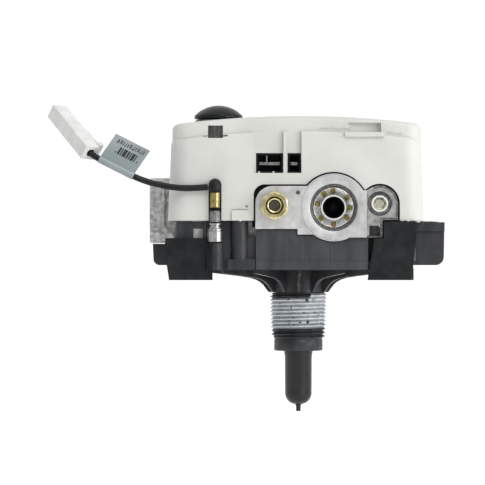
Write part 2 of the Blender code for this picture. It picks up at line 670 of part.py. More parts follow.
def make_servo_solenoid():
    """The small solenoid that lets gas off the diaphragm: yoke, winding, moving core and its spring."""
    x, y = SERVO_X, SERVO_Y
    low, high = BONNET_TOP + GAP, 59.4
    yoke = box("servo_yoke", (x - 11.5, y - 6.0, low), (x + 11.5, y + 6.0, high), STEEL)
    cut(yoke, box("yoke_space", (x - 10, y - 8, low + 1.5), (x + 10, y + 8, high - 1.5)))
    join(yoke, rod("yoke_pole", 3.2, (x, y, 55.6), (x, y, high - 0.5)))
    cut(yoke, rod("yoke_core_hole", 3.6, (x, y, 40), (x, y, 50)))
    winding = [(4.0, 57.4), (7.4, 57.4), (7.4, 56.6), (8.6, 56.6)]
    winding += [(8.6, 50.2), (7.4, 50.2), (7.4, 49.3), (4.0, 49.3)]
    turned("servo_winding", winding, (x, y, 0), COPPER)
    rod("servo_core", 3.3, (x, y, 43.3), (x, y, 51.6), STEEL)
    spring("servo_core_spring", (x, y), 2.3, 0.3, 51.9, 55.3, 3)


def make_safety_valve():
    """The magnet that holds the safety valve open, the valve itself and its spring."""
    at = (KNOB_X, KNOB_Y, 0)
    magnet = [(0, 21.7), (4.6, 21.7), (4.6, 17.5), (9.2, 17.5)]
    magnet += [(9.2, 12.2), (6.0, 12.2), (6.0, 10.6), (0, 10.6)]
    turned("safety_magnet", magnet, at, STEEL)
    valve = [(0, 31.5), (6.2, 31.5), (6.2, 30.0), (1.5, 30.0), (1.5, 26.5), (4.4, 26.5), (4.4, 25.0), (0, 25.0)]
    turned("safety_valve", valve, at, STEEL, INNER_SIDES)
    spring("safety_valve_spring", at, 5.7, 0.4, 17.8, 29.7, 4)


def make_ports():
    """The pieces in the valve body's ports."""
    make_outlet_ring()
    fitting_outline = [
        (6.75 * math.cos(a), 6.75 * math.sin(a)) for a in [math.radians(30 + 60 * i) for i in range(6)]
    ]
    hexagon = [(PILOT_X + u, PILOT_Z + v) for u, v in fitting_outline]
    fitting = slab("pilot_fitting", hexagon, "Y", -54.6, FACE_FRONT - GAP, BRASS)
    join(fitting, rod("pilot_fitting_thread", 4.3, (PILOT_X, -52, PILOT_Z), (PILOT_X, -41, PILOT_Z)))
    cut(fitting, rod("pilot_tube_bore", 2.7, (PILOT_X, -60, PILOT_Z), (PILOT_X, -30, PILOT_Z)))
    cut(fitting, rod("pilot_cone", 6.0, (PILOT_X, -56.6, PILOT_Z), (PILOT_X, -52.2, PILOT_Z), None, 16, 2.4))
    plug = turned(
        "pressure_tap_plug",
        [(0, 3.2), (3.3, 3.2), (3.6, 2.9), (3.6, -6.0), (0, -6.0)],
        (TAP_X, TAP_FRONT + 2.0, TAP_Z),
        STEEL,
        INNER_SIDES,
        "front",
    )
    cut(plug, rod("tap_socket", 2.4, (TAP_X, -52, TAP_Z), (TAP_X, TAP_FRONT + 2.0, TAP_Z), sides=6))
    strainer = turned(
        "inlet_strainer", [(0, 5.0), (7.2, 5.0), (7.2, 0.0), (0, 0.0)], (-54, 0, INLET_Z),
        BRASS, INNER_SIDES, "left",
    )
    cut(strainer, rod("strainer_mouth", 6.2, (-62, 0, INLET_Z), (-55.5, 0, INLET_Z)))
    for i in range(6):
        y, z = 3.6 * math.cos(math.pi * i / 3), INLET_Z + 3.6 * math.sin(math.pi * i / 3)
        cut(strainer, rod(f"strainer_hole_{i}", 1.3, (-62, y, z), (-50, y, z), sides=8))


OUTLET_RING_FRONT = -43.5
OUTLET_RING_SLOTS = [0, 37, 92, 125, 166, 220, 270, 323]  # degrees round the port


def make_outlet_ring():
    """A slotted metal ring with a raised lip, in the outlet port, and the brass ring that its slots show."""
    lip = [(5.15, 2.6), (5.75, 2.6), (5.75, 0.0), (9.6, 0.0), (9.6, -1.6), (5.15, -1.6)]
    at = (OUTLET_X, OUTLET_RING_FRONT, OUTLET_Z)
    ring = turned("outlet_ring", lip, at, CAST_METAL, SIDES, "front")
    for i, degrees in enumerate(OUTLET_RING_SLOTS):
        slot = box(f"outlet_slot_{i}", (6.2, -1.15, -5), (9.0, 1.15, 5))
        turn = Matrix.Rotation(math.radians(degrees), 4, "Z")
        slot.matrix_world = Matrix.Translation(Vector(at) * MM) @ FACING["front"] @ turn
        cut(ring, slot)
    brass = ring_profile(5.4, 9.5, -3.4, -1.6 - GAP)
    turned("outlet_brass_ring", brass, at, BRASS, SIDES, "front")


# --------------------------------------------------------------------------- circuit board


def make_board():
    left, right, front, back, corner = -56.0, 52.0, -42.4, 42.0, 8.0
    outline = [(left + corner, front), (right - corner, front), (right, front + corner), (right, back - corner)]
    outline += [(right - corner, back), (left + corner, back), (left, back - corner), (left, front + corner)]
    board = slab("circuit_board", outline, "Z", BOARD_LOW, BOARD_TOP, BOARD_GREEN)
    cut(board, box("board_notch", (KNOB_X - 12.4, -50, 55), (KNOB_X + 12.4, KNOB_Y, 65)))
    cut(board, rod("board_knob_hole", 12.4, (KNOB_X, KNOB_Y, 55), (KNOB_X, KNOB_Y, 65), sides=SIDES))
    for kind, (low, high) in WINDOWS.items():
        make_header(kind, low, high)
    box("microcontroller", (-2, -12, BOARD_TOP + GAP), (10, 0, BOARD_TOP + 1.8), BLACK_PLASTIC)
    rod("capacitor", 4.0, (28, 12, BOARD_TOP + GAP), (28, 12, 71.0), STEEL)
    rod("status_led", 1.6, (LENS_X, LENS_Y, BOARD_TOP + GAP), (LENS_X, LENS_Y, 66.0), LENS, 12)
    top = crown(LENS_X, CROWN_TOP, CROWN_RADIUS) + 0.4
    rod("status_lens", 2.5, (LENS_X, LENS_Y, 67.5), (LENS_X, LENS_Y, top), LENS, 12)


def make_header(kind, low, high):
    """A socket that a harness plug goes into, behind its window."""
    low, high = low + GAP, high - GAP
    front = BAND_FRONT + 0.5
    bottom, top = (low, -42.8, WINDOW_LOW + GAP), (high, -34, BOARD_LOW - GAP)
    header = box(f"harness_header_{kind}", bottom, top, BLACK_PLASTIC)
    nose_top = WINDOW_HIGH - GAP
    join(header, box(f"header_nose_{kind}", (low, front, WINDOW_LOW + GAP), (high, -42, nose_top)))
    hollow = box(f"header_hollow_{kind}", (low + 0.7, -60, WINDOW_LOW + 1.0), (high - 0.7, -37, nose_top - 0.7))
    cut(header, hollow)


# --------------------------------------------------------------------------- base, shank and well


def make_base():
    base = box("mounting_base", (-60, -46.3, FLOOR_LOW), (52.8, 45, TRAY_TOP), BLACK_PLASTIC)
    cut(base, box("tray_hollow", (-57.5, -43.4, FLOOR_TOP), (50.6, 42.5, 60)))
    join(base, box("front_wall", (-20.5, -49.0, FLOOR_LOW + 0.2), (33, -43.6, WALL_TOP)))
    cut(base, slab("face_clearance", face_outline(0.4), "Y", -60, -36))
    join(base, rod("base_hub", HUB_RADIUS, (0, 0, HUB_LOW), (0, 0, FLOOR_TOP - 0.5), sides=SIDES))
    add_feet_and_ears(base)
    add_posts(base)
    add_ribs(base)
    cut(base, rod("hub_bore", 11.3, (0, 0, -20), (0, 0, 20), sides=SIDES))
    cut(base, box("inlet_clearance", (-80, -INLET_HALF - 0.5, 16.9), (-50, INLET_HALF + 0.5, 40)))
    for i, (x, y) in enumerate(COVER_SCREWS):
        cut(base, rod(f"base_cover_hole_{i}", 1.8, (x, y, -5), (x, y, 40), sides=10))
        cut(base, rod(f"base_counterbore_{i}", 3.4, (x, y, -5), (x, y, 10.3), sides=12))
    for i, (x, y) in enumerate(BASE_SCREWS):
        cut(base, rod(f"base_body_hole_{i}", 1.8, (x, y, -5), (x, y, 20), sides=10))
    return base


def add_feet_and_ears(base):
    left_foot = [(-61.0, 0), (-40.75, 0), (-40.75, 17.2), (-43.9, 17.2), (-43.9, TRAY_TOP)]
    left_foot += [(-62.8, TRAY_TOP), (-63.0, 13)]
    right_foot = [(31.6, 0), (51.6, 0), (53.7, 16), (54.3, 27.2)]
    right_foot += [(39.0, 27.2), (39.0, 19.3), (34.5, 19.3)]
    join(base, slab("foot_front_left", left_foot, "Y", -48.6, -43.0))
    join(base, slab("foot_front_right", right_foot, "Y", -49.6, -42.6))
    for side, low, high in (("left", -61.0, -42.0), ("right", 36.8, 52.0)):
        join(base, box(f"foot_back_{side}", (low, 36.0, 0), (high, 46.0, 15.0)))
    for sign, name in ((-1, "left"), (1, "right")):
        join(base, box(f"foot_heel_{name}", (sign * 50 - 3, -46, 0), (sign * 50 + 3, -36, FLOOR_LOW + 1)))
    reach, low = EAR_REACH, 6.7
    round_left = arc((-reach + 3, low + 3), 3, 180, 270, 3)
    round_right = arc((reach - 4, low + 4), 4, 270, 360, 3)
    join(base, slab("ear_left", [(-58, 16.9), (-reach - 0.3, 16.9), *round_left, (-58, low)], "Y", -9, 9))
    join(base, slab("ear_right", [(51.5, low), *round_right, (reach + 0.3, 27.2), (51.5, 27.2)], "Y", -9, 9))
    join(base, box("ear_right_lip", (52.6, -10.2, 22.9), (reach + 0.3, 10.2, 27.2)))


def add_posts(base):
    """The posts, the boss and the backing of the sensing lead, and the standoffs under the valve body."""
    for i, (x, y) in enumerate(COVER_SCREWS):
        low = 9.0 if y < 0 else FLOOR_LOW + 0.5
        join(base, rod(f"cover_post_{i}", 4.2, (x, y, low), (x, y, COVER_BOTTOM - GAP)))
    x, y = COVER_SCREWS[0]
    join(base, box("post_ledge", (x - 5.4, -49.0, FLOOR_LOW + 0.3), (x + 7.5, -43.0, 9.8)))
    join(base, rod("lead_boss", 3.7, (LEAD_X, LEAD_Y, FLOOR_LOW + 0.1), (LEAD_X, LEAD_Y, 17.2)))
    join(base, box("lead_backing", (-44.0, -45.2, 18.6), (-35.2, -43.6, 47.8)))
    join(base, box("left_block", (-57.6, -46.2, 18.6), (-44.4, -43.4, 27.3)))
    cut(base, box("left_block_notch", (-49.8, -50, TRAY_TOP), (-45.2, -42, 23.9)))
    for i, (x, y) in enumerate(BASE_SCREWS):
        join(base, rod(f"standoff_{i}", 4.0, (x, y, FLOOR_TOP - 1), (x, y, BODY_LOW - GAP), sides=12))


def add_ribs(base):
    """Webs that run from the floor's edge in to the hub and sweep down to the shank."""
    sweep = [(12.0, HUB_LOW), (14.2, HUB_LOW), (15.6, -4.6), (17.4, -2.2)]
    sweep += [(20.0, -0.4), (23.5, 0.6), (42.0, 3.0)]
    outline = [*sweep, (42.0, FLOOR_LOW + 1), (12.0, FLOOR_LOW + 1)]
    ribs = 12
    for i in range(ribs):
        web = slab(f"rib_{i}", outline, "Y", -0.8, 0.8)
        web.data.transform(Matrix.Rotation(2 * math.pi * i / ribs, 4, "Z"))
        join(base, web)


def make_shank():
    """The tapered thread that screws into the tank, its collar and the spigot that the base's hub holds."""
    profile = [(11.0, 7.2), (11.0, THREAD_TOP)]
    pitch = (THREAD_TOP - THREAD_LOW) / THREADS
    for i in range(THREADS):
        crest = THREAD_RADIUS_TOP + (THREAD_RADIUS_LOW - THREAD_RADIUS_TOP) * i / (THREADS - 1)
        top = THREAD_TOP - pitch * i
        profile += [(crest - THREAD_DEPTH, top), (crest, top - 0.5 * pitch)]
    profile += [(COLLAR_RADIUS, THREAD_LOW), (COLLAR_RADIUS, COLLAR_LOW)]
    profile += [(6.95, COLLAR_LOW), (6.95, -29.8), (9.3, -29.8), (9.3, 7.2)]
    turned("threaded_shank", profile, (0, 0, 0), BLACK_PLASTIC)


def make_well():
    """The closed tube that holds the temperature sensor in the tank's water."""
    steps = 4
    outer = [(WELL_RADIUS * math.cos(a), WELL_DOME + (WELL_DOME - WELL_END) * -math.sin(a))
             for a in [math.pi / 2 * i / steps for i in range(steps)]]
    inner = [(5.0 * math.cos(a), WELL_DOME - 4.0 * math.sin(a))
             for a in [math.pi / 2 * i / steps for i in range(steps)]]
    profile = [(0, WELL_DOME - 4.0), *reversed(inner), (5.1, -27.0), (9.0, -27.0), (9.0, -29.5)]
    profile += [(WELL_RADIUS + 0.1, -29.5), *outer, (1.2, WELL_END), (1.2, WELL_NUB), (0, WELL_NUB)]
    turned("sensor_well", profile, (0, 0, 0), BLACK_PLASTIC)
    rod("temperature_sensor", 4.5, (0, 0, -56.0), (0, 0, -47.0), STEEL)
    route = [(0, 0, -46.6), (0, 0, -20), (0, 0, 2), (0, 4, 8.5), (0, 16, 10.3), (0, 30, 10.3)]
    route += [(1, 36.5, 13.5), (2, 38.5, 22), (2, 38.5, 42), (2, 38.5, 59.6)]
    wire("sensor_leads", smooth_line(route, 4.0), 1.1, RUBBER, resolution=1)


# --------------------------------------------------------------------------- sensing lead


def make_lead():
    at = (LEAD_X, LEAD_Y, 0)
    nut = [(0, 26.6), (2.7, 26.6), (2.7, 25.6), (3.1, 25.2), (2.6, 24.6), (3.3, 23.8), (3.3, 17.5), (0, 17.5)]
    turned("lead_nut", nut, at, STEEL, INNER_SIDES)
    turned("lead_sleeve", [(0, 32.3), (2.1, 32.3), (2.5, 31.6), (2.5, 26.9), (0, 26.9)], at, STEEL, INNER_SIDES)
    turned("lead_seal", [(0, 33.4), (2.2, 33.4), (2.2, 32.6), (0, 32.6)], at, RUBBER, INNER_SIDES)
    turned("lead_terminal", [(0, 40.8), (2.2, 40.8), (2.2, 33.7), (0, 33.7)], at, BRASS, INNER_SIDES)
    make_boot()
    line = smooth_line(LEAD_POINTS, 2.4)
    wire("sensing_lead", line, LEAD_RADIUS, RUBBER)
    make_label()
    make_connector()


def make_boot():
    """The moulded elbow: an upright part with a round top, and a short arm that the lead leaves by."""
    profile = [(0, BOOT_TOP), (1.6, BOOT_TOP - 0.3), (2.5, BOOT_TOP - 1.4), (2.7, BOOT_TOP - 3.0)]
    profile += [(2.7, BOOT_LOW), (0, BOOT_LOW)]
    boot = turned("lead_boot", profile, (LEAD_X, LEAD_Y, 0), RUBBER, INNER_SIDES)
    start = LEAD_POINTS[0]
    arm_end = (start[0] + GAP, start[1], start[2])
    join(boot, rod("boot_arm", 1.8, (LEAD_X, LEAD_Y, 43.3), arm_end, sides=12))


def make_label():
    """A film label: a sleeve round the lead, and a flag where its two ends meet."""
    start, end = (Vector(LEAD_POINTS[i]) for i in LABEL_ENDS)
    along = (end - start).normalized()
    up = Vector((0, -1, 0)).cross(along)
    up = up if up.z > 0 else -up
    inner = LEAD_RADIUS + GAP
    outer = inner + LABEL_THICK
    low, high = start + along * 0.4, end - along * 0.4
    label = rod("lead_label", outer, low, high, LABEL_FILM, 12)
    flag = box("label_flag", (0, -0.25, inner + 0.1), ((high - low).length, 0.25, LABEL_FLAG))
    matrix = Matrix((along, Vector((0, 1, 0)), up)).transposed().to_4x4()
    flag.data.transform(Matrix.Translation(low * MM) @ matrix)
    if matrix.determinant() < 0:
        flag.data.flip_normals()
    join(label, flag)
    cut(label, rod("label_bore", inner, start - along, end + along, sides=12))


def make_connector():
    """A two-way housing with a latch arm, tilted as it hangs on the lead, and its two terminals."""
    wide, deep, length = CONNECTOR_WIDE / 2, CONNECTOR_DEEP / 2, CONNECTOR_LENGTH
    axis = Vector(CONNECTOR_AXIS).normalized()
    across = Vector(CONNECTOR_LATCH).cross(axis).normalized()
    turn = Matrix((across, axis.cross(across), axis)).transposed().to_4x4()
    stand = Matrix.Translation(Vector(CONNECTOR_ENTRY) * MM) @ turn

    def stood(made):
        made.data.transform(stand)
        return made

    housing = stood(box("connector_housing", (-wide, -deep, 0), (wide, deep, length), NYLON))
    join(housing, stood(box("latch_arm", (-2.2, deep + 1.4, 3.0), (2.2, deep + 2.8, 18.0))))
    join(housing, stood(box("latch_root", (-2.2, deep - 0.5, 15.6), (2.2, deep + 2.0, 18.0))))
    join(housing, stood(box("latch_tab", (-2.6, deep + 1.4, 3.0), (2.6, deep + 4.9, 5.8))))
    cut(housing, stood(box("mating_hollow", (-wide + 1, -deep + 1, 18), (wide - 1, deep - 1, length + 2))))
    cut(housing, stood(box("wire_hollow", (-2.4, -3.0, -2), (2.4, 3.0, 4.5))))
    for i, y in ((1, -1.7), (2, 1.7)):
        cut(housing, stood(box(f"terminal_hole_{i}", (-1.0, y - 1.0, 2), (1.0, y + 1.0, 20))))
        stood(box(f"connector_terminal_{i}", (-0.7, y - 0.7, 5.0), (0.7, y + 0.7, 25.0), BRASS))


# --------------------------------------------------------------------------- screws


def make_screw(name, at, head_low, head_radius, head_height, shank_radius, shank_length, points_up):
    """A pan-head screw with a slot. It points up into the part, or down."""
    way = 1 if points_up else -1
    x, y = at
    seat = head_low
    screw = rod(name, head_radius, (x, y, seat - way * head_height), (x, y, seat), STEEL, 12)
    shank_low, shank_high = (x, y, seat - way * 0.5), (x, y, seat + way * shank_length)
    join(screw, rod(name + "_shank", shank_radius, shank_low, shank_high, sides=8))
    top = seat - way * head_height
    slot_low, slot_high = sorted((top - way * 1, top + way * 0.8))
    slot_reach = head_radius + 1
    cut(screw, box(name + "_slot", (x - slot_reach, y - 0.4, slot_low), (x + slot_reach, y + 0.4, slot_high)))


def make_screws():
    for i, at in enumerate(COVER_SCREWS, 1):
        make_screw(f"cover_screw_{i}", at, 10.0, 3.0, 2.2, 1.5, 27.0, True)
    for i, at in enumerate(BONNET_SCREWS, 1):
        make_screw(f"bonnet_screw_{i}", at, BONNET_TOP + GAP, 3.0, 2.0, 1.6, 11.0, False)
    for i, at in enumerate(BASE_SCREWS, 1):
        make_screw(f"base_screw_{i}", at, FLOOR_LOW - GAP, 3.4, 2.0, 1.5, 16.0, True)


make_cover()
make_knob()
make_spindle()
make_potentiometer()
make_valve_body()
make_bonnet()
make_diaphragm()
make_main_valve()
make_regulator()
make_servo_solenoid()
make_safety_valve()
make_ports()
make_board()
make_base()
make_shank()
make_well()
make_lead()
make_screws()
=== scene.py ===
# %% [markdown]
# # A water heater's gas control valve
#
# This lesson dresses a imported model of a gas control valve. The real thing screws into the side of a
# storage water heater by the threaded shank at its bottom. A die-cast body carries the gas, a black
# moulded base holds it, and a white cover with a round knob hides the electronics. The solids are there
# already. We load them as a fixed frame, and build a finer surface in the same place for each one that shows.

# %% Load the frame
import math
import random

import bmesh
import bpy
from mathutils import Matrix, Vector, noise


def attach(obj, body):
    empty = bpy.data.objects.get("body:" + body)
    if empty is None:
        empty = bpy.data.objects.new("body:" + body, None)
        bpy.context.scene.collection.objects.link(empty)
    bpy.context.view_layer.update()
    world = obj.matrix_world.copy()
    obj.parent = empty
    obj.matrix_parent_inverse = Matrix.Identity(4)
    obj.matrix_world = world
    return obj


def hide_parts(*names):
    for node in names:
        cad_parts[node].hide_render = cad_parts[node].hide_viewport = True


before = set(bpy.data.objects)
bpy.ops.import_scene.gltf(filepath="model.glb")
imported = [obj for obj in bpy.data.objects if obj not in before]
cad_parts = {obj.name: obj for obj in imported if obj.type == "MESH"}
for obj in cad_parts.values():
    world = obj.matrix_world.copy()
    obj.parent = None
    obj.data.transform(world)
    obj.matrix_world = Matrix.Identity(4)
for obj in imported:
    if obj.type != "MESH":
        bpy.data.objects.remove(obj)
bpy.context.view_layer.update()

# %% [markdown]
# ## Camera and light
#
# A small product shot is taken from far away with a long lens, so that upright edges stay upright. The
# lens is worked out from the width that should fill the frame. The light of a white studio comes from
# everywhere, so a pale world does most of the work. It is brightest behind the object, where it is the
# backdrop, and dimmer behind the camera, which keeps the blacks deep. A broad overhead panel and two
# small side panels add the shape.

# %% Camera
MM = 0.001
VIEW_WIDTH = 232.8  # mm across the frame, at the object
VIEW_DISTANCE = 1600.0
VIEW_CENTRE = Vector((-26.8, 0.0, 17.5))

camera_data = bpy.data.cameras.new("product_camera")
camera_data.sensor_width = 36.0
camera_data.lens = 36.0 * VIEW_DISTANCE / VIEW_WIDTH
camera_data.clip_end = 20.0
camera = bpy.data.objects.new("product_camera", camera_data)
camera.location = (VIEW_CENTRE + Vector((0, -VIEW_DISTANCE, 0))) * MM
camera.rotation_euler = (math.radians(90), 0, 0)
bpy.context.collection.objects.link(camera)
bpy.context.scene.camera = camera
print("lens", round(camera_data.lens, 1), "mm")

# %% [markdown]
# Three kinds of light are used. A soft panel is an area light, which is described by its size and its
# power. The sky is a sun lamp with a wide angle, so that its shadows have soft edges. The world gives
# the rest, and its strength is worked out from the direction that each ray takes.


# %% Light
def soft_panel(name, place, size, power):
    """A square area light that looks at the middle of the object."""
    data = bpy.data.lights.new(name, "AREA")
    data.size = size * MM
    data.energy = power
    panel = bpy.data.objects.new(name, data)
    panel.location = Vector(place) * MM
    aim = Vector((0, 0, 20)) * MM - panel.location
    panel.rotation_euler = aim.to_track_quat("-Z", "Y").to_euler()
    bpy.context.collection.objects.link(panel)
    return panel


soft_panel("front_panel", (700, -760, 60), 240, 1.9)
soft_panel("right_panel", (620, -260, 160), 320, 1.4)

sky_data = bpy.data.lights.new("sky_panel", "SUN")
sky_data.energy = 1.35
sky_data.angle = math.radians(32)
sky_panel = bpy.data.objects.new("sky_panel", sky_data)
sky_panel.rotation_euler = Vector((-0.26, 0.6, -0.62)).to_track_quat("-Z", "Y").to_euler()
bpy.context.collection.objects.link(sky_panel)

BACKDROP_RANGE = {"From Min": -0.5, "From Max": 0.6, "To Min": 0.37, "To Max": 1.04}

studio = bpy.data.worlds.new("studio")
studio.use_nodes = True
studio_tree = studio.node_tree
towards = studio_tree.nodes.new("ShaderNodeTexCoord")
split = studio_tree.nodes.new("ShaderNodeSeparateXYZ")
height = studio_tree.nodes.new("ShaderNodeMath")
backdrop = studio_tree.nodes.new("ShaderNodeMapRange")
for socket, value in BACKDROP_RANGE.items():
    backdrop.inputs[socket].default_value = value
background = studio_tree.nodes["Background"]
background.inputs["Color"].default_value = (1, 1, 1, 1)
for output, into in (
    (towards.outputs["Generated"], split.inputs["Vector"]),
    (split.outputs["Y"], height.inputs[0]),
    (split.outputs["Z"], height.inputs[1]),
    (height.outputs["Value"], backdrop.inputs["Value"]),
    (backdrop.outputs["Result"], background.inputs["Strength"]),
):
    studio_tree.links.new(output, into)
bpy.context.scene.world = studio
bpy.context.scene.view_settings.view_transform = "Standard"
print("lights and backdrop set")

# %% [markdown]
# ## Finishes
#
# Every finish starts from a Principled shader. Its colour, roughness and relief come from noise that is
# measured in millimetres in object space, so a grain has the same size on every piece. Nearly all of
# them are two colours mixed by a cloud, a gloss that varies and one or two sizes of bump. So one
# function makes them all, and each finish is a recipe of a few lines.


# %% Shader helpers
def shader_of(material):
    return material.node_tree.nodes["Principled BSDF"]


def drive(material, socket, output):
    """Links a node's output to one of the shader's sockets."""
    material.node_tree.links.new(output, shader_of(material).inputs[socket])


def add_node(material, kind, **values):
    node = material.node_tree.nodes.new(kind)
    for key, value in values.items():
        setattr(node, key, value)
    return node


def grain(material, size, detail=2.0, stretch=(1.0, 1.0, 1.0)):
    """Noise whose grains are about size mm across, drawn out along an axis by stretch."""
    tree = material.node_tree
    place = add_node(material, "ShaderNodeTexCoord")
    mapping = add_node(material, "ShaderNodeMapping")
    mapping.inputs["Scale"].default_value = [1.0 / s for s in stretch]
    tree.links.new(place.outputs["Object"], mapping.inputs["Vector"])
    texture = add_node(material, "ShaderNodeTexNoise")
    texture.inputs["Scale"].default_value = 1000.0 / size
    texture.inputs["Detail"].default_value = detail
    tree.links.new(mapping.outputs["Vector"], texture.inputs["Vector"])
    return texture.outputs["Fac"]


def spread(material, factor, low, high, start=0.35, end=0.65):
    """Maps a noise to a range of values."""
    ramp = add_node(material, "ShaderNodeMapRange")
    ramp.inputs["From Min"].default_value = start
    ramp.inputs["From Max"].default_value = end
    ramp.inputs["To Min"].default_value = low
    ramp.inputs["To Max"].default_value = high
    material.node_tree.links.new(factor, ramp.inputs["Value"])
    return ramp.outputs["Result"]


def blend_colour(material, factor, first, second):
    """Mixes two colours, or an earlier mix and a colour, by a factor."""
    tree = material.node_tree
    mix = add_node(material, "ShaderNodeMix", data_type="RGBA")
    tree.links.new(factor, mix.inputs[0])
    for slot, colour in ((6, first), (7, second)):
        if isinstance(colour, tuple):
            mix.inputs[slot].default_value = (*colour, 1.0)
        else:
            tree.links.new(colour, mix.inputs[slot])
    return mix.outputs[2]


def relief(material, *heights):
    """Adds bumps, each as (noise, depth in mm), one on top of the other."""
    tree = material.node_tree
    below = None
    for height, depth in heights:
        bump = add_node(material, "ShaderNodeBump")
        bump.inputs["Strength"].default_value = 1.0
        bump.inputs["Distance"].default_value = depth * MM
        tree.links.new(height, bump.inputs["Height"])
        if below:
            tree.links.new(below, bump.inputs["Normal"])
        below = bump.outputs["Normal"]
    drive(material, "Normal", below)


print("shader helpers ready")

# %% [markdown]
# A recipe names each ingredient, so that two finishes can be compared at a glance. Noise sizes are in
# millimetres. Specks are a layer on top, for a skin that holds fibres or pits.


# %% Recipe for a finish
def finish(name, colours, rough, metallic=0.0, cloud=None, patch=(0.35, 0.65), bumps=(), shine=None):
    """Makes a finish. Each noise in it is a size in mm, then a detail and a stretch where it needs them.

    The cloud is the noise that mixes the two colours, and patch is the part of its range that counts.
    The roughness is a number, or a low, a high and a noise. A bump is a depth in mm and a noise. The
    shine is the strength of the reflection at the surface, of which a matt skin has little.
    """
    made = bpy.data.materials.new(name)
    made.use_nodes = True
    shader = shader_of(made)
    shader.inputs["Base Color"].default_value = (*colours[0], 1.0)
    shader.inputs["Metallic"].default_value = metallic
    if shine is not None:
        shader.inputs["Specular IOR Level"].default_value = shine
    if cloud:
        mixed = spread(made, grain(made, *cloud), 0, 1, *patch)
        drive(made, "Base Color", blend_colour(made, mixed, *colours))
    if isinstance(rough, tuple):
        low, high, *gloss = rough
        drive(made, "Roughness", spread(made, grain(made, *gloss), low, high))
    else:
        shader.inputs["Roughness"].default_value = rough
    if bumps:
        relief(made, *[(grain(made, *noise_size), depth) for depth, *noise_size in bumps])
    return made


def colour_so_far(material):
    """The output that gives a finish its colour, for another layer to start from."""
    return shader_of(material).inputs["Base Color"].links[0].from_socket


def speckle(material, colour, start, end, *noise_size):
    """Lays specks of another colour over a finish, where a noise is high."""
    specks = spread(material, grain(material, *noise_size), 0, 1, start, end)
    drive(material, "Base Color", blend_colour(material, specks, colour_so_far(material), colour))


def grey(level):
    return (level, level, level)


print("recipe ready")

# %% [markdown]
# ### White, green and clear plastics
#
# The cover is a warm white moulding with a fine spark-eroded texture. Natural nylon is milky, with soft
# blotches and a satin face. The light guide is a small green lens.

# %% Cover, nylon and lens
COVER_WHITE = finish(
    "cover_white", [(0.482, 0.486, 0.459), (0.523, 0.528, 0.498)], (0.42, 0.54, 6.0), cloud=(22.0,),
    bumps=[(0.012, 0.5, 3.0), (0.02, 9.0)], shine=0.35)
NYLON = finish(
    "natural_nylon", [(0.52, 0.52, 0.515), (0.60, 0.60, 0.59)], (0.28, 0.42, 1.6, 3.0), cloud=(6.0,),
    bumps=[(0.02, 6.0, 2.0)])
LENS_GREEN = finish(
    "light_guide_green", [(0.1, 0.34, 0.13), (0.16, 0.46, 0.2)], 0.18, cloud=(2.0,), bumps=[(0.004, 0.4)])
print("pale plastics made")

# %% [markdown]
# ### Black plastics
#
# No two blacks on the valve are the same, and the eye finds the pieces by those small steps. The base is
# nylon full of short glass fibres, which leaves a charcoal skin with pale flow marks and tiny pits. Its
# front feet are given a darker, matter black, and its front wall a paler black that is a painted sheen.
# The well is smooth, the knob is polished in its mould, and the knob's knurled skirt has gone grey.

# %% Base, well, knob and lead
BASE_BLACK = finish(
    "glass_filled_black", [(0.017, 0.018, 0.0195), (0.033, 0.0345, 0.037)], (0.3, 0.5, 2.5, 3.0),
    cloud=(5.0, 4.0, (1.0, 1.0, 3.5)), bumps=[(0.012, 0.4, 3.0), (0.04, 7.0)], shine=0.28)
speckle(BASE_BLACK, (0.04, 0.042, 0.045), 0.55, 0.75, 0.35, 2.0, (3.0, 1.0, 1.0))
# A darker, matter black for the front feet.
FOOT_BLACK = finish(
    "darker_foot_black", [(0.007, 0.0078, 0.0086), (0.016, 0.017, 0.0185)], (0.42, 0.6, 2.5, 3.0), cloud=(7.0, 4.0),
    bumps=[(0.012, 0.6, 3.0)], shine=0.14)
# The front wall's paler black is a painted sheen.
WALL_SHEEN_BLACK = finish(
    "wall_black_painted_sheen", [(0.026, 0.028, 0.0305), (0.047, 0.049, 0.0525)], (0.36, 0.52, 2.5, 3.0),
    cloud=(6.0, 4.0, (1.0, 1.0, 4.0)), bumps=[(0.012, 0.6, 3.0)], shine=0.28)
WELL_BLACK = finish(
    "well_black", [(0.004, 0.0045, 0.005), (0.009, 0.0098, 0.0105)], (0.28, 0.36, 2.0, 3.0), cloud=(6.0, 3.0),
    bumps=[(0.008, 0.8, 3.0)], shine=0.34)
KNOB_GLOSS = finish(
    "knob_gloss", [(0.003, 0.0038, 0.0042), (0.007, 0.0085, 0.009)], (0.2, 0.34, 3.0, 4.0), cloud=(10.0,),
    bumps=[(0.006, 0.6, 2.0)], shine=0.18)
SKIRT_GREY = finish(
    "knob_skirt_grey", [grey(0.12), (0.2, 0.2, 0.195)], 0.45, cloud=(1.5, 2.0, (1.0, 1.0, 6.0)),
    bumps=[(0.01, 0.5, 2.0)])
LEAD_JACKET = finish(
    "lead_jacket", [(0.004, 0.005, 0.005), (0.012, 0.014, 0.014)], (0.34, 0.52, 1.2, 3.0), cloud=(3.0,),
    bumps=[(0.02, 0.7, 3.0)], shine=0.2)
# Black rubber. The same black is also painted shade in the gap round the body's face and in a slot of the
# tray.
BLACK_RUBBER_AND_SHADE = finish(
    "seal_rubber_and_painted_shade", [grey(0.005), grey(0.01)], (0.55, 0.75, 0.8, 3.0), cloud=(2.0, 3.0),
    bumps=[(0.02, 0.5, 3.0)], shine=0.12)
print("black plastics made")
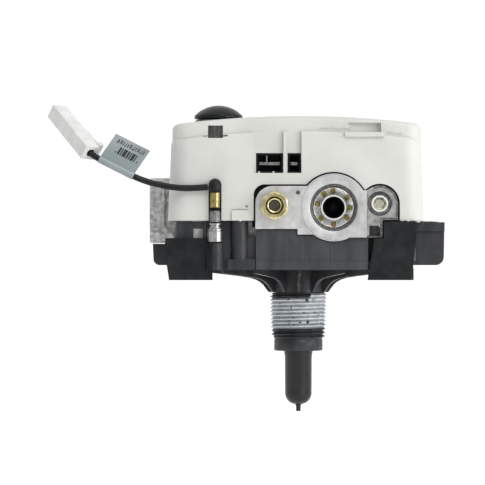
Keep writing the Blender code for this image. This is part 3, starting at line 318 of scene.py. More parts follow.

# %% [markdown]
# ### Cast metal
#
# The body is a pressure die casting: bright aluminium with a cloudy, pitted skin that scatters light
# almost like paint. The lobe round the tap, which is set back, is given a darker skin as painted shade,
# and the rough inlet shows the texture of the die. Where a tool has passed, the metal is cleaner, and a
# rim that catches the light is coloured nearly white, as a painted highlight. Deep pockets are given a
# darker metal as painted shade, as little light gets back out of them.

# %% Cast and faced metal
DIE_CAST = finish(
    "die_cast_skin", [grey(0.42), grey(0.58)], (0.32, 0.5, 2.0, 4.0), 0.6, cloud=(6.0, 3.0),
    bumps=[(0.012, 0.6, 3.0), (0.06, 6.0, 2.0)])
speckle(DIE_CAST, grey(0.47), 0.6, 0.76, 0.9, 3.0)
# The lobe's darker skin is painted shade.
LOBE_SHADE_CAST = finish(
    "lobe_painted_shade", [(0.2, 0.2, 0.195), (0.36, 0.36, 0.35)], (0.36, 0.52, 2.0, 4.0), 0.6, cloud=(4.0, 3.0),
    bumps=[(0.012, 0.6, 3.0), (0.06, 5.0, 2.0)])
ROUGH_CAST = finish(
    "rough_cast_skin", [grey(0.3), (0.56, 0.56, 0.545)], (0.3, 0.62, 1.5, 3.0), 0.5, cloud=(2.6, 5.0),
    patch=(0.4, 0.6), bumps=[(0.06, 0.8, 4.0), (0.22, 3.2, 2.0)])
FACED_METAL = finish(
    "faced_metal", [(0.43, 0.435, 0.43), (0.55, 0.55, 0.545)], (0.4, 0.56, 1.6, 3.0), 0.7, cloud=(5.0, 3.0),
    bumps=[(0.01, 0.4, 2.0)])
RING_METAL = finish(
    "ring_metal", [(0.74, 0.74, 0.72), (0.95, 0.95, 0.93)], (0.16, 0.34, 0.8, 3.0), 0.9, cloud=(3.0, 3.0),
    bumps=[(0.01, 0.5, 3.0)])
# A painted highlight: rims that catch the light are coloured nearly white.
HIGHLIGHT_RIM = finish(
    "rim_painted_highlight", [(0.78, 0.78, 0.75), (0.88, 0.88, 0.86)], (0.25, 0.4, 0.8, 3.0), 0.5, cloud=(2.0, 3.0))
SHADE_METAL = finish(
    "shaded_metal", [grey(0.1), grey(0.24)], (0.3, 0.5, 0.8, 3.0), 0.6, cloud=(1.6, 3.0),
    bumps=[(0.02, 0.5, 3.0)])
print("cast metals made")

# %% [markdown]
# ### Turned and plated metal
#
# Brass and plated steel are turned on a lathe, which leaves fine rings across the axis, so their noise is
# stretched round the piece rather than along it. Zinc plate is a cool grey, a yellow passivation makes
# steel faintly gold, and brass that gas has passed for years is dull.

# %% Brass, steel and copper
BRASS = finish(
    "turned_brass", [(0.5, 0.43, 0.2), (0.76, 0.68, 0.4)], (0.16, 0.32, 0.4, 2.0, (6.0, 1.0, 6.0)), 1.0,
    cloud=(2.5, 4.0), bumps=[(0.006, 0.25, 2.0, (8.0, 1.0, 8.0))])
BARREL_BRASS = finish(
    "barrel_brass", [(0.26, 0.205, 0.07), (0.42, 0.35, 0.16)], (0.26, 0.38, 0.6, 3.0), 1.0, cloud=(2.0, 3.0),
    bumps=[(0.006, 0.3, 2.0, (1.0, 1.0, 6.0))])
OLD_BRASS = finish(
    "dull_brass", [(0.22, 0.18, 0.05), (0.42, 0.35, 0.13)], 0.5, 0.6, cloud=(1.2, 3.0),
    bumps=[(0.02, 0.4, 3.0)])
TERMINAL_BRASS = finish(
    "terminal_brass", [(0.7, 0.52, 0.22), (0.88, 0.74, 0.42)], (0.18, 0.34, 0.3, 2.0, (1.0, 1.0, 0.2)), 1.0,
    cloud=(2.0, 3.0), bumps=[(0.008, 0.3, 2.0, (8.0, 8.0, 1.0))])
ZINC = finish(
    "zinc_plate", [grey(0.3), (0.48, 0.48, 0.475)], (0.22, 0.36, 0.5, 3.0), 0.95, cloud=(2.2, 4.0),
    bumps=[(0.01, 0.35, 3.0, (4.0, 4.0, 1.0))])
PALE_STEEL = finish(
    "passivated_steel", [(0.44, 0.45, 0.36), (0.66, 0.65, 0.54)], (0.22, 0.4, 0.5, 3.0), 0.9,
    cloud=(1.6, 3.0), bumps=[(0.008, 0.3, 2.0)])
COPPER = finish(
    "winding_copper", [(0.6, 0.26, 0.1)], (0.25, 0.5, 0.3, 2.0, (8.0, 8.0, 1.0)), 0.9,
    bumps=[(0.05, 0.3, 2.0, (8.0, 8.0, 1.0))])
print("turned metals made")

# %% [markdown]
# ### Sealant, film and board
#
# Pipe sealant is a pale paste. It wipes thin over the crests of the thread and stays thick in the
# valleys. Its colour is worked out from the distance to the shank's axis: the valleys are darkened as a
# painted shade, and the crests stay pale. A mapping flattens the place to two axes, and the length of
# what is left is that distance.

# %% Sealant
CREST_RANGE = (12.2, 13.3)  # mm from the axis

SEALANT = finish(
    "pipe_sealant", [(0.5, 0.53, 0.55), (0.74, 0.76, 0.77)], (0.3, 0.5, 1.0, 3.0), 0.25, cloud=(3.4, 4.0),
    bumps=[(0.03, 1.6, 3.0)])
sealant_place = add_node(SEALANT, "ShaderNodeTexCoord")
seen_along_axis = add_node(SEALANT, "ShaderNodeMapping")
seen_along_axis.inputs["Scale"].default_value = (1000, 1000, 0)
from_axis = add_node(SEALANT, "ShaderNodeVectorMath", operation="LENGTH")
SEALANT.node_tree.links.new(sealant_place.outputs["Object"], seen_along_axis.inputs["Vector"])
SEALANT.node_tree.links.new(seen_along_axis.outputs["Vector"], from_axis.inputs[0])
# Painted shade: the paste is darkened in the thread's valleys and stays pale on the crests.
crests = spread(SEALANT, from_axis.outputs["Value"], 0, 1, *CREST_RANGE)
paste = colour_so_far(SEALANT)
drive(SEALANT, "Base Color", blend_colour(SEALANT, crests, (0.17, 0.2, 0.23), paste))
print("sealant mixed from", CREST_RANGE, "mm")

# %% [markdown]
# The label is a pale film with a satin face, and its ink is a plain matt black. The circuit board has
# hard-edged patches of copper under its green mask, so its two colours meet in a narrow range.

# %% Film, ink and board
LABEL_FILM = finish(
    "label_film", [(0.2, 0.235, 0.237), (0.25, 0.287, 0.292)], (0.3, 0.46, 1.0, 3.0), cloud=(9.0, 3.0),
    bumps=[(0.03, 4.0, 2.0)])
PRINT_INK = finish("print_ink", [(0.012, 0.013, 0.014)], (0.42, 0.6, 0.6))
BOARD_MASK = finish(
    "solder_mask", [(0.015, 0.12, 0.045), (0.03, 0.2, 0.08)], 0.35, cloud=(1.4, 1.0), patch=(0.5, 0.53))
print("film, ink and board made")

# %% [markdown]
# ## Shape helpers
#
# The pieces are machined and moulded parts, so they come from a few honest operations: a turned profile,
# a flat outline with a thickness, a block, and joining or cutting one with another. Sizes are in
# millimetres, as on a drawing, and become metres as each mesh is made. Booleans are applied at once and
# the cut edges are then rounded, because a real moulding has no knife edge and the highlight along a
# rounded edge is what makes it look real.


# %% Basic solids
def new_object(name, bm, keep_normals=False):
    mesh = bpy.data.meshes.new(name)
    if not keep_normals:
        bmesh.ops.recalc_face_normals(bm, faces=bm.faces)
    bm.to_mesh(mesh)
    bm.free()
    made = bpy.data.objects.new(name, mesh)
    bpy.context.collection.objects.link(made)
    return made


def block(low, high, name="block"):
    bm = bmesh.new()
    bmesh.ops.create_cube(bm, size=1.0)
    low, high = Vector(low) * MM, Vector(high) * MM
    bmesh.ops.scale(bm, vec=high - low, verts=bm.verts)
    bmesh.ops.translate(bm, vec=(low + high) / 2, verts=bm.verts)
    return new_object(name, bm)


def rod(radius, start, end, sides=48, end_radius=None, name="rod"):
    start, end = Vector(start) * MM, Vector(end) * MM
    bm = bmesh.new()
    last = radius if end_radius is None else end_radius
    bmesh.ops.create_cone(
        bm, cap_ends=True, segments=sides, radius1=radius * MM, radius2=last * MM, depth=(end - start).length)
    turn = (end - start).to_track_quat("Z", "Y").to_matrix().to_4x4()
    bmesh.ops.transform(bm, matrix=Matrix.Translation((start + end) / 2) @ turn, verts=bm.verts)
    return new_object(name, bm)


FACING = {
    "up": Matrix.Identity(4),
    "front": Matrix.Rotation(math.radians(90), 4, "X"),
    "left": Matrix.Rotation(math.radians(-90), 4, "Y"),
}


def turned(profile, at, facing="up", steps=96, name="turned"):
    """Turns a profile of (radius, height) points round an axis. It closes on the axis or on itself."""
    bm = bmesh.new()
    points = [bm.verts.new((radius * MM, 0, height * MM)) for radius, height in profile]
    edges = [bm.edges.new(pair) for pair in zip(points, points[1:])]
    if profile[0][0] > 0 or profile[-1][0] > 0:
        edges.append(bm.edges.new((points[-1], points[0])))
    bmesh.ops.spin(
        bm, geom=points + edges, axis=(0, 0, 1), cent=(0, 0, 0), steps=steps, angle=2 * math.pi,
        use_merge=True)
    bmesh.ops.remove_doubles(bm, verts=bm.verts, dist=1e-7)
    bmesh.ops.transform(bm, matrix=Matrix.Translation(Vector(at) * MM) @ FACING[facing], verts=bm.verts)
    return new_object(name, bm)


def slab(outline, axis, low, high, name="slab"):
    """A flat outline, (x, z) for Y, (x, y) for Z or (y, z) for X, given thickness along that axis."""
    bm = bmesh.new()
    order = {"X": (2, 0, 1), "Y": (0, 2, 1), "Z": (0, 1, 2)}[axis]
    bottom = []
    for across, up in outline:
        spot = (across, up, low)
        bottom.append(bm.verts.new([spot[i] * MM for i in order]))
    face = bm.faces.new(bottom)
    grown = bmesh.ops.extrude_face_region(bm, geom=[face])
    top = [item for item in grown["geom"] if isinstance(item, bmesh.types.BMVert)]
    reach = [(0, 0, high - low)[i] * MM for i in order]
    bmesh.ops.translate(bm, vec=reach, verts=top)
    return new_object(name, bm)


def arc(centre, radius, first, last, steps=12):
    """Points on a circle from one angle to another, in degrees."""
    angles = [math.radians(first + (last - first) * i / steps) for i in range(steps + 1)]
    return [(centre[0] + radius * math.cos(a), centre[1] + radius * math.sin(a)) for a in angles]


def in_port(profile, port, front, steps=96):
    """A turned piece in a port of the face. Its heights are measured forwards from front."""
    return turned(profile, (port[0], front, port[1]), "front", steps)


def port_rod(radius, port, start, end, sides=48):
    return rod(radius, (port[0], start, port[1]), (port[0], end, port[1]), sides)


print("solids ready")

# %% [markdown]
# Booleans are modifiers that are applied at once. A bevel then rounds every sharp edge, and takes its
# normals from the flat faces beside it, so that they stay flat. A second finish is given by testing the
# middle of each face. Last, a piece is dressed: it gets its name and its finish, the body that it moves
# with, and the solids that it takes the place of.


# %% Join, cut and finish
def settle(target):
    """Applies a piece's modifiers."""
    bpy.context.view_layer.update()
    graph = bpy.context.evaluated_depsgraph_get()
    mesh = bpy.data.meshes.new_from_object(target.evaluated_get(graph))
    target.modifiers.clear()
    old = target.data
    target.data = mesh
    bpy.data.meshes.remove(old)


def combine(target, others, operation):
    for other in others:
        boolean = target.modifiers.new("combine", "BOOLEAN")
        boolean.operation = operation
        boolean.solver = "EXACT"
        boolean.object = other
    settle(target)
    for other in others:
        bpy.data.objects.remove(other)
    return target


def join(target, *others):
    return combine(target, others, "UNION")


def cut(target, *others):
    return combine(target, others, "DIFFERENCE")


def soften(target, width, segments=2, angle=35.0):
    """Rounds the sharp edges and shades the piece smooth."""
    bevel = target.modifiers.new("soften", "BEVEL")
    bevel.width = width * MM
    bevel.segments = segments
    bevel.limit_method = "ANGLE"
    bevel.angle_limit = math.radians(angle)
    bevel.miter_outer = "MITER_ARC"
    bevel.use_clamp_overlap = True
    bevel.harden_normals = True
    target.data.shade_smooth()
    settle(target)
    return target


def gather(first, *others):
    """Makes several objects into one mesh."""
    with bpy.context.temp_override(active_object=first, selected_editable_objects=[first, *others]):
        bpy.ops.object.join()
    return first


def tint(target, material, chosen):
    """Gives a second finish to the faces whose middle, in mm, passes a test."""
    target.data.materials.append(material)
    last = len(target.data.materials) - 1
    for face in target.data.polygons:
        if chosen(face.center / MM, face.normal):
            face.material_index = last


def dress(target, name, material, body, slot, *stands_for, sharp=32.0):
    """Gives a piece its name, its finish, its body and the solids that it stands for."""
    target.name = name
    target.data.name = name
    target.data.materials.clear()
    target.data.materials.append(material)
    if isinstance(target.data, bpy.types.Mesh) and not target.data.has_custom_normals:
        target.data.shade_smooth()
        target.data.set_sharp_from_angle(angle=math.radians(sharp))
    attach(target, body)
    if stands_for:
        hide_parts(*stands_for)
    return target


print("join, cut and finish ready")

# %% [markdown]
# ## The sensing lead
#
# A stiff black lead leaves its boot to the left, passes in front of the cover and climbs to a small
# white connector. It is short enough to hold its own shape. One smooth curve through a few points gives
# the route, and the curve's own bevel gives the round jacket. A mesh could be swept along the route, but
# a curve keeps its length, which we need, and its roundness can be changed later.

# %% Route of the lead
LEAD_X = -39.6
LEAD_Y = -49.7
LEAD_RADIUS = 1.45
LEAD_POINTS = [
    (-42.9, -49.7, 43.3),
    (-46.5, -49.7, 43.0),
    (-51.2, -49.7, 42.8),
    (-56.0, -49.7, 42.9),
    (-60.5, -49.7, 43.4),
    (-65.3, -49.7, 44.3),
    (-69.8, -49.7, 45.4),
    (-73.6, -49.7, 46.7),
    (-77.2, -49.7, 48.2),
    (-85.5, -49.7, 52.4),
    (-93.8, -49.7, 56.6),
    (-96.1, -49.2, 58.0),
    (-98.2, -48.0, 59.8),
    (-99.6, -46.3, 61.5),
]


def smooth_line(points, step):
    """Points about a step apart along a Catmull-Rom curve."""
    knots = [Vector(p) for p in points]
    knots = [2 * knots[0] - knots[1], *knots, 2 * knots[-1] - knots[-2]]
    line = [knots[1]]
    for before, a, b, after in zip(knots, knots[1:], knots[2:], knots[3:]):
        count = max(1, round((b - a).length / step))
        for i in range(1, count + 1):
            t = i / count
            bend = (2 * a) + (b - before) * t + (2 * before - 5 * a + 4 * b - after) * t**2
            line.append((bend + (3 * a - before - 3 * b + after) * t**3) / 2)
    return line


def tube(name, points, radius, resolution=6):
    curve = bpy.data.curves.new(name, "CURVE")
    curve.dimensions = "3D"
    curve.bevel_depth = radius * MM
    curve.bevel_resolution = resolution
    curve.use_fill_caps = True
    spline = curve.splines.new("POLY")
    spline.points.add(len(points) - 1)
    for knot, point in zip(spline.points, points):
        knot.co = (*(Vector(point) * MM), 1.0)
    made = bpy.data.objects.new(name, curve)
    bpy.context.collection.objects.link(made)
    return made


lead_line = smooth_line(LEAD_POINTS, 1.2)
sensing_lead = tube("lead_jacket", lead_line, LEAD_RADIUS)
dress(sensing_lead, "lead_jacket", LEAD_JACKET, "valve", "rubber", "sensing_lead")

# %% [markdown]
# The connector is a two-way nylon housing. It hangs turned about its own length, so two of its sides
# show. It is built upright at the origin, where its sizes are easy to read, and then stood on the end
# of the lead by one matrix. Its mouth is at the far end, and the lead goes in at the near end, beside
# the latch arm.

# %% Connector
CONNECTOR_ENTRY = (-97.6, -48.8, 59.2)
CONNECTOR_AXIS = (-0.497, 0.628, 0.598)
CONNECTOR_LATCH = (0.757, 0.650, -0.054)
CONNECTOR_LENGTH = 33.4
CONNECTOR_WIDE = 7.2
CONNECTOR_DEEP = 8.3

half_wide, half_deep = CONNECTOR_WIDE / 2, CONNECTOR_DEEP / 2
connector_axis = Vector(CONNECTOR_AXIS).normalized()
connector_across = Vector(CONNECTOR_LATCH).cross(connector_axis).normalized()
connector_latch = connector_axis.cross(connector_across)
connector_turn = Matrix((connector_across, connector_latch, connector_axis)).transposed().to_4x4()
connector_stand = Matrix.Translation(Vector(CONNECTOR_ENTRY) * MM) @ connector_turn


def rounded_rectangle(half_x, half_y, corner, steps=4):
    outline = []
    for sx, sy, first in ((1, 1, 0), (-1, 1, 90), (-1, -1, 180), (1, -1, 270)):
        outline += arc((sx * (half_x - corner), sy * (half_y - corner)), corner, first, first + 90, steps)
    return outline


housing = slab(rounded_rectangle(half_wide, half_deep, 0.7), "Z", 0, CONNECTOR_LENGTH)
join(
    housing,
    block((-2.2, half_deep + 1.4, 3.0), (2.2, half_deep + 2.8, 18.0)),
    block((-2.2, half_deep - 0.5, 15.6), (2.2, half_deep + 2.0, 18.0)),
    slab([(half_deep + 1.4, 3.0), (half_deep + 4.2, 3.0), (half_deep + 4.9, 3.9), (half_deep + 4.9, 5.8),
          (half_deep + 1.4, 5.8)], "X", -2.6, 2.6),
)
cut(
    housing,
    slab(rounded_rectangle(half_wide - 1.0, half_deep - 1.0, 0.4), "Z", 18.0, CONNECTOR_LENGTH + 2),
    slab(rounded_rectangle(1.9, 1.9, 1.7), "Z", -1.0, 4.5),
)
for side in (-1, 1):
    keyway = slab(rounded_rectangle(1.0, 1.0, 0.3), "Z", 2.0, 20.0)
    keyway.data.transform(Matrix.Translation((0, side * 1.7 * MM, 0)))
    cut(housing, keyway)
soften(housing, 0.25, 2)
housing.data.transform(connector_stand)
dress(housing, "connector_shell", NYLON, "valve", "nylon", "connector_housing")

for i, y in ((1, -1.7), (2, 1.7)):
    pin = slab(rounded_rectangle(0.7, 0.7, 0.2), "Z", 5.0, 23.0)
    join(pin, rod(0.62, (0, 0, 22.5), (0, 0, 25.0), 16, 0.25))
    pin.data.transform(connector_stand @ Matrix.Translation((0, y * MM, 0)))
    dress(pin, f"terminal_pin_{i}", TERMINAL_BRASS, "valve", "brass", f"connector_terminal_{i}")

# %% [markdown]
# The label is one strip of film that wraps the lead and meets itself as a flag. The sleeve is swept
# round the straight stretch of lead, and the flag is a thin sheet that leans and has a slight curl.

# %% Label
label_start, label_end = Vector(LEAD_POINTS[8]), Vector(LEAD_POINTS[10])
label_along = (label_end - label_start).normalized()
label_up = Vector((0, -1, 0)).cross(label_along)
label_up = label_up if label_up.z > 0 else -label_up
LABEL_RADIUS = LEAD_RADIUS + 0.34
LABEL_HEIGHT = 14.0
LABEL_LEAN = -0.14
label_low = label_start + label_along * 0.4
label_length = (label_end - label_start).length - 0.8


def label_point(along, up, out):
    """A place on the label, measured along the lead, up the flag, and out of it towards the front."""
    raised = max(up - LABEL_RADIUS, 0.0)
    curl = 0.9 * (raised / LABEL_HEIGHT) ** 2 * (along / label_length)
    place = label_low + label_along * (along + LABEL_LEAN * raised) + label_up * up
    return (place + Vector((0, -1, 0)) * (out - curl)) * MM


def ribbon(paths, name="ribbon"):
    """Skins a closed surface through rings of points, and closes its two ends."""
    bm = bmesh.new()
    rings = [[bm.verts.new(p) for p in path] for path in paths]
    count = len(rings[0])
    for a, b in zip(rings, rings[1:]):
        for i in range(count):
            bm.faces.new((a[i], a[(i + 1) % count], b[(i + 1) % count], b[i]))
    bm.faces.new(list(reversed(rings[0])))
    bm.faces.new(rings[-1])
    return new_object(name, bm)


def label_section(along):
    """The label's section: round the lead, up both faces of the flag and over its edge."""
    film = 0.17
    wrap = [math.radians(96 + 348 * i / 32) for i in range(33)]
    ring = [(LABEL_RADIUS * math.cos(angle), LABEL_RADIUS * math.sin(angle)) for angle in wrap]
    section = [(-film, LABEL_HEIGHT)] + [(-film, LABEL_HEIGHT * (1 - i / 8)) for i in range(1, 7)]
    section = [p for p in section if p[1] > LABEL_RADIUS + 0.2] + ring
    section += [(film, LABEL_HEIGHT * i / 8) for i in range(2, 9)]
    return [label_point(along, up, -out) for out, up in section]


label = ribbon([label_section(label_length * i / 14) for i in range(15)])
dress(label, "label_flag", LABEL_FILM, "valve", "label_film", "lead_label", sharp=50)
print("label", round(label_length, 1), "x", LABEL_HEIGHT, "mm")

# %% [markdown]
# What is printed on a real label is left out. Plain bars of ink stand in for it. Each is a thin ribbon
# that follows the flag, so it curls with it. The jacket, the connector and the label all belong to one
# cord.

# %% Printed marks
BAR_WIDTHS = (0.5, 1.3, 0.5, 0.9, 1.6, 0.5, 0.9)
BAR_LOW, BAR_HEIGHT = 5.8, 3.6


def printed_bar(along, up, length, height, out=0.2):
    """A thin bar of ink that follows the flag."""
    corners = []
    steps = max(2, round(length))
    for i in range(steps + 1):
        here = along + length * i / steps
        corners.append([
            label_point(here, up, out), label_point(here, up + height, out),
            label_point(here, up + height, out + 0.03), label_point(here, up, out + 0.03),
        ])
    return ribbon(corners)


marks = []
reach = 3.4
for width in BAR_WIDTHS:
    marks.append(printed_bar(reach, BAR_LOW, width, BAR_HEIGHT))
    reach += width + 0.45
marks += [printed_bar(1.8, 6.0, 0.6, 0.6), printed_bar(12.9, 6.0, 0.6, 0.6)]
random.seed(11)
reach = 1.7
while reach < 14.5:
    step = random.choice((0.5, 0.7, 1.0))
    for low in random.choice(((10.6, 11.6), (10.6,), (11.0, 12.0))):
        marks.append(printed_bar(reach, low, step, 0.5))
    marks.append(printed_bar(reach, 10.6, 0.28, 1.7))
    reach += step + 0.5
ink = gather(*marks)
dress(ink, "label_marks", PRINT_INK, "valve", "label_film")
print("marks joined")

# %% [markdown]
# The lead's end fitting stacks up on one upright axis: a plated nut on the base, a sleeve, a rubber
# seal, a brass barrel, and a moulded elbow that the lead leaves by. Each is a turned profile of (radius,
# height) points, because each really is turned or round.

# %% End fitting of the lead
LEAD_AT = (LEAD_X, LEAD_Y, 0)
NUT = [
    (0, 26.5), (2.5, 26.5), (2.9, 26.2), (2.9, 25.7), (2.4, 25.4), (2.4, 25.0), (2.7, 24.7), (2.7, 24.3),
    (3.2, 24.1), (3.5, 23.8), (3.5, 23.3), (3.3, 23.1), (3.3, 22.8), (3.5, 22.6), (3.5, 18.0), (3.2, 17.6),
    (0, 17.6)]
SLEEVE = [(0, 32.2), (2.1, 32.2), (2.3, 31.9), (2.45, 31.2), (2.5, 30.6), (2.5, 27.2), (2.3, 27.0), (0, 27.0)]
SEAL = [(0, 33.35), (1.9, 33.35), (2.2, 33.1), (2.2, 32.8), (1.9, 32.55), (0, 32.55)]
BARREL = [
    (0, 40.8), (2.1, 40.8), (2.3, 40.6), (2.3, 35.0), (2.2, 34.9), (2.2, 34.5), (2.3, 34.4), (2.3, 33.9),
    (2.1, 33.7), (0, 33.7)]
BOOT = [
    (0, 46.98), (0.9, 46.85), (1.7, 46.4), (2.3, 45.6), (2.6, 44.6), (2.68, 43.4), (2.68, 41.5), (2.5, 41.15),
    (0, 41.15)]
ELBOW_Z = 43.3

dress(turned(NUT, LEAD_AT), "lead_nut_turned", ZINC, "valve", "steel", "lead_nut")
dress(turned(SLEEVE, LEAD_AT), "lead_sleeve_turned", SHADE_METAL, "valve", "steel", "lead_sleeve")
dress(turned(SEAL, LEAD_AT), "lead_seal_ring", BLACK_RUBBER_AND_SHADE, "valve", "rubber", "lead_seal")
dress(turned(BARREL, LEAD_AT), "lead_barrel_turned", BARREL_BRASS, "valve", "brass", "lead_terminal")
boot = turned(BOOT, LEAD_AT)
join(boot, rod(1.82, (LEAD_X, LEAD_Y, ELBOW_Z), (LEAD_POINTS[0][0] + 0.32, LEAD_Y, ELBOW_Z), 32))
soften(boot, 0.3, 3, 50)
dress(boot, "lead_boot_elbow", LEAD_JACKET, "valve", "rubber", "lead_boot", sharp=50)
print("end fitting stacked")

# %% [markdown]
# ## The cover
#
# The cover is a crowned box with a step: below the ledge its wall stands further out than the band
# above. Each of the two is a block whose upright corners are rounded, whose top is sliced and bent to
# the crown, and whose rim is then rounded. The two are joined and hollowed, and the openings are cut.

# %% Crowned block
COVER_WALL = 2.2
COVER_BOTTOM = 27.7
CROWN_TOP = 76.6
CROWN_RADIUS = 447.0
LEDGE_TOP = 69.7
LEDGE_RADIUS = 400.0
COVER_CORNER = 9.0
BAND_FRONT = -45.4
APRON_X = (-61.7, 58.1)
APRON_Y = (-48.2, 46.8)
BAND_X = (-59.9, 57.0)
BAND_Y = (BAND_FRONT, 46.0)
COVER_DRAFT = 1.6
BAND_DRAFT = 0.3


def crown(x, top, radius):
    return top - x * x / (2 * radius)


def crowned_block(x_range, y_range, low, top, radius, draft, corner, rim):
    """A block with round upright corners, leaning sides and a crowned top with a round rim."""
    slices, corner_steps, rim_steps = 30, 8, 5
    bm = bmesh.new()
    bmesh.ops.create_cube(bm, size=1.0)
    for v in bm.verts:
        v.co = Vector((x_range[v.co.x > 0], y_range[v.co.y > 0], low if v.co.z < 0 else top)) * MM
    upright = [e for e in bm.edges if abs(e.verts[0].co.z - e.verts[1].co.z) > MM]
    bmesh.ops.bevel(
        bm, geom=upright, offset=corner * MM, segments=corner_steps, profile=0.5, affect="EDGES")
    for i in range(1, slices):
        x = x_range[0] + corner + (x_range[1] - x_range[0] - 2 * corner) * (i - 1) / (slices - 2)
        geometry = bm.verts[:] + bm.edges[:] + bm.faces[:]
        bmesh.ops.bisect_plane(bm, geom=geometry, plane_co=(x * MM, 0, 0), plane_no=(1, 0, 0), dist=1e-7)
    half_x = (x_range[1] - x_range[0]) / 2 * MM
    half_y = (y_range[1] - y_range[0]) / 2 * MM
    middle = sum(x_range) / 2 * MM, sum(y_range) / 2 * MM
    for v in bm.verts:
        if v.co.z > (low + 1) * MM:
            v.co.x = middle[0] + (v.co.x - middle[0]) * (1 - draft * MM / half_x)
            v.co.y = middle[1] + (v.co.y - middle[1]) * (1 - draft / 2 * MM / half_y)
            v.co.z = crown(v.co.x / MM, top, radius) * MM
    bm.normal_update()
    rims = [e for e in bm.edges if len(e.link_faces) == 2]
    rims = [e for e in rims if max(f.normal.z for f in e.link_faces) > 0.7]
    rims = [e for e in rims if abs(min(f.normal.z for f in e.link_faces)) < 0.3]
    if rim:
        bmesh.ops.bevel(bm, geom=rims, offset=rim * MM, segments=rim_steps, profile=0.5, affect="EDGES")
    return new_object("crowned_block", bm)


def shrunk(pair, by):
    return (pair[0] + by, pair[1] - by)


cover = crowned_block(
    APRON_X, APRON_Y, COVER_BOTTOM, LEDGE_TOP, LEDGE_RADIUS, COVER_DRAFT, COVER_CORNER, 1.8)
band = crowned_block(BAND_X, BAND_Y, 40, CROWN_TOP, CROWN_RADIUS, BAND_DRAFT, COVER_CORNER - 1.5, 2.4)
join(cover, band)
band_hollow = crowned_block(
    shrunk(BAND_X, COVER_WALL), shrunk(BAND_Y, COVER_WALL), 38, CROWN_TOP - COVER_WALL, CROWN_RADIUS,
    BAND_DRAFT, 5.3, 0)
apron_hollow = crowned_block(
    shrunk(APRON_X, COVER_WALL), shrunk(APRON_Y, COVER_WALL), 20, LEDGE_TOP - COVER_WALL, LEDGE_RADIUS,
    COVER_DRAFT, 7.0, 0)
cut(cover, band_hollow, apron_hollow)
print("cover shell", len(cover.data.polygons), "faces")

# %% [markdown]
# The valve body's face shows through an opening in the front that follows its outline with a small
# gap: straight over the pilot fitting, round the outlet boss and round the pressure tap. The outline is
# a function of that gap, so that the body, the cover and the base all use the same one.

# %% Outline of the valve body's face
OUTLET = (15.7, 33.8)
OUTLET_BOSS = 15.8
TAP = (37.1, 35.6)
PILOT = (-11.9, 34.7)
TAP_LOBE = 8.5
FACE_LEFT, FACE_RIGHT, FACE_LOW, FACE_TOP = -20.8, 45.7, 23.8, 43.8
FACE_STEP = (-1.2, 21.2)
FACE_TAB, FACE_HEEL = (38.5, 19.8), 28.0


def face_outline(grow, corner=8.0, steps=14):
    """The outline of the face, grown by a gap all round."""
    left, top, low = FACE_LEFT - grow, FACE_TOP + grow, FACE_LOW - grow
    step_x, step_low = FACE_STEP[0] - grow, FACE_STEP[1] - grow
    right, heel = FACE_RIGHT + grow, FACE_HEEL - grow
    tab_x, tab_low = FACE_TAB[0] + grow, FACE_TAB[1] - grow
    boss, lobe = OUTLET_BOSS + grow, TAP_LOBE + grow
    tap = (right - lobe, TAP[1])

    def angle_at(height):
        return math.degrees(math.asin((height - OUTLET[1]) / boss))

    points = [(step_x, step_low), (step_x, low), (left, low)]
    points += arc((left + corner, top - corner), corner, 180, 90, steps)
    points += arc(OUTLET, boss, 180 - angle_at(top), 30, 2 * steps)
    points += arc(tap, lobe, 132, 0, steps)
    points += [(right, heel), (tab_x, heel), (tab_x, tab_low)]
    points += arc(OUTLET, boss, angle_at(tab_low), -180 - angle_at(step_low), steps)
    return points


print("face outline", len(face_outline(0)), "points")

# %% [markdown]
# Before the cover is cut, it gets what stands out of it: a boss over each screw, a flat pad at the front
# screw, and a wall for the knob's well. Then the face's outline is cut out, with a gap, and so are the
# arch over the lead's boot and the screws' holes.

# %% Bosses and the large openings
COVER_SCREWS = [(-28.4, -45.0), (50.3, -39.0), (-52.0, 38.0), (48.0, 38.0)]
PAD_LEFT, PAD_RIGHT, PAD_TOP, PAD_CORNER = -31.8, -23.8, 32.6, 1.6
KNOB = (-38.1, -30.0)
KNOB_BORE = 11.8
BOOT_TOP, BOOT_GAP = 47.0, 3.0

for x, y in COVER_SCREWS:
    join(cover, rod(4.2, (x, max(y, -43.5), COVER_BOTTOM), (x, max(y, -43.5), 40)))
pad = [(PAD_LEFT, COVER_BOTTOM), (PAD_RIGHT, COVER_BOTTOM)]
pad += arc((PAD_RIGHT - PAD_CORNER, PAD_TOP - PAD_CORNER), PAD_CORNER, 0, 90, 6)
pad += arc((PAD_LEFT + PAD_CORNER, PAD_TOP - PAD_CORNER), PAD_CORNER, 90, 180, 6)
join(cover, slab(pad, "Y", -49.1, -45.0))
join(cover, rod(KNOB_BORE + 1.5, (*KNOB, 63.0), (*KNOB, 73.4), 96))
boot_arch = [(LEAD_X + BOOT_GAP, 20), *arc((LEAD_X, BOOT_TOP - 2.7), BOOT_GAP, 0, 180, 24)]
cut(
    cover,
    slab(face_outline(0.8, 5.0), "Y", -60, -40),
    block((-21.6, -60, 20), (46.5, -40, 30)),
    block((-32.2, -60, 32.75), (-24.4, -47.8, 33.05)),
    slab([*boot_arch, (LEAD_X - BOOT_GAP, 20)], "Y", -60, -42.6),
    *[rod(1.8, (x, y, 20), (x, y, 38), 32) for x, y in COVER_SCREWS],
)
print("openings cut,", len(cover.data.polygons), "faces")

# %% [markdown]
# The two plug windows sit in a raised frame. Above each, a channel runs up through the frame, where the
# plug's latch passes. The knob shows through a slot in the band, and a fine groove lies under the slot. A
# pocket further along the ledge takes the cover's snap.

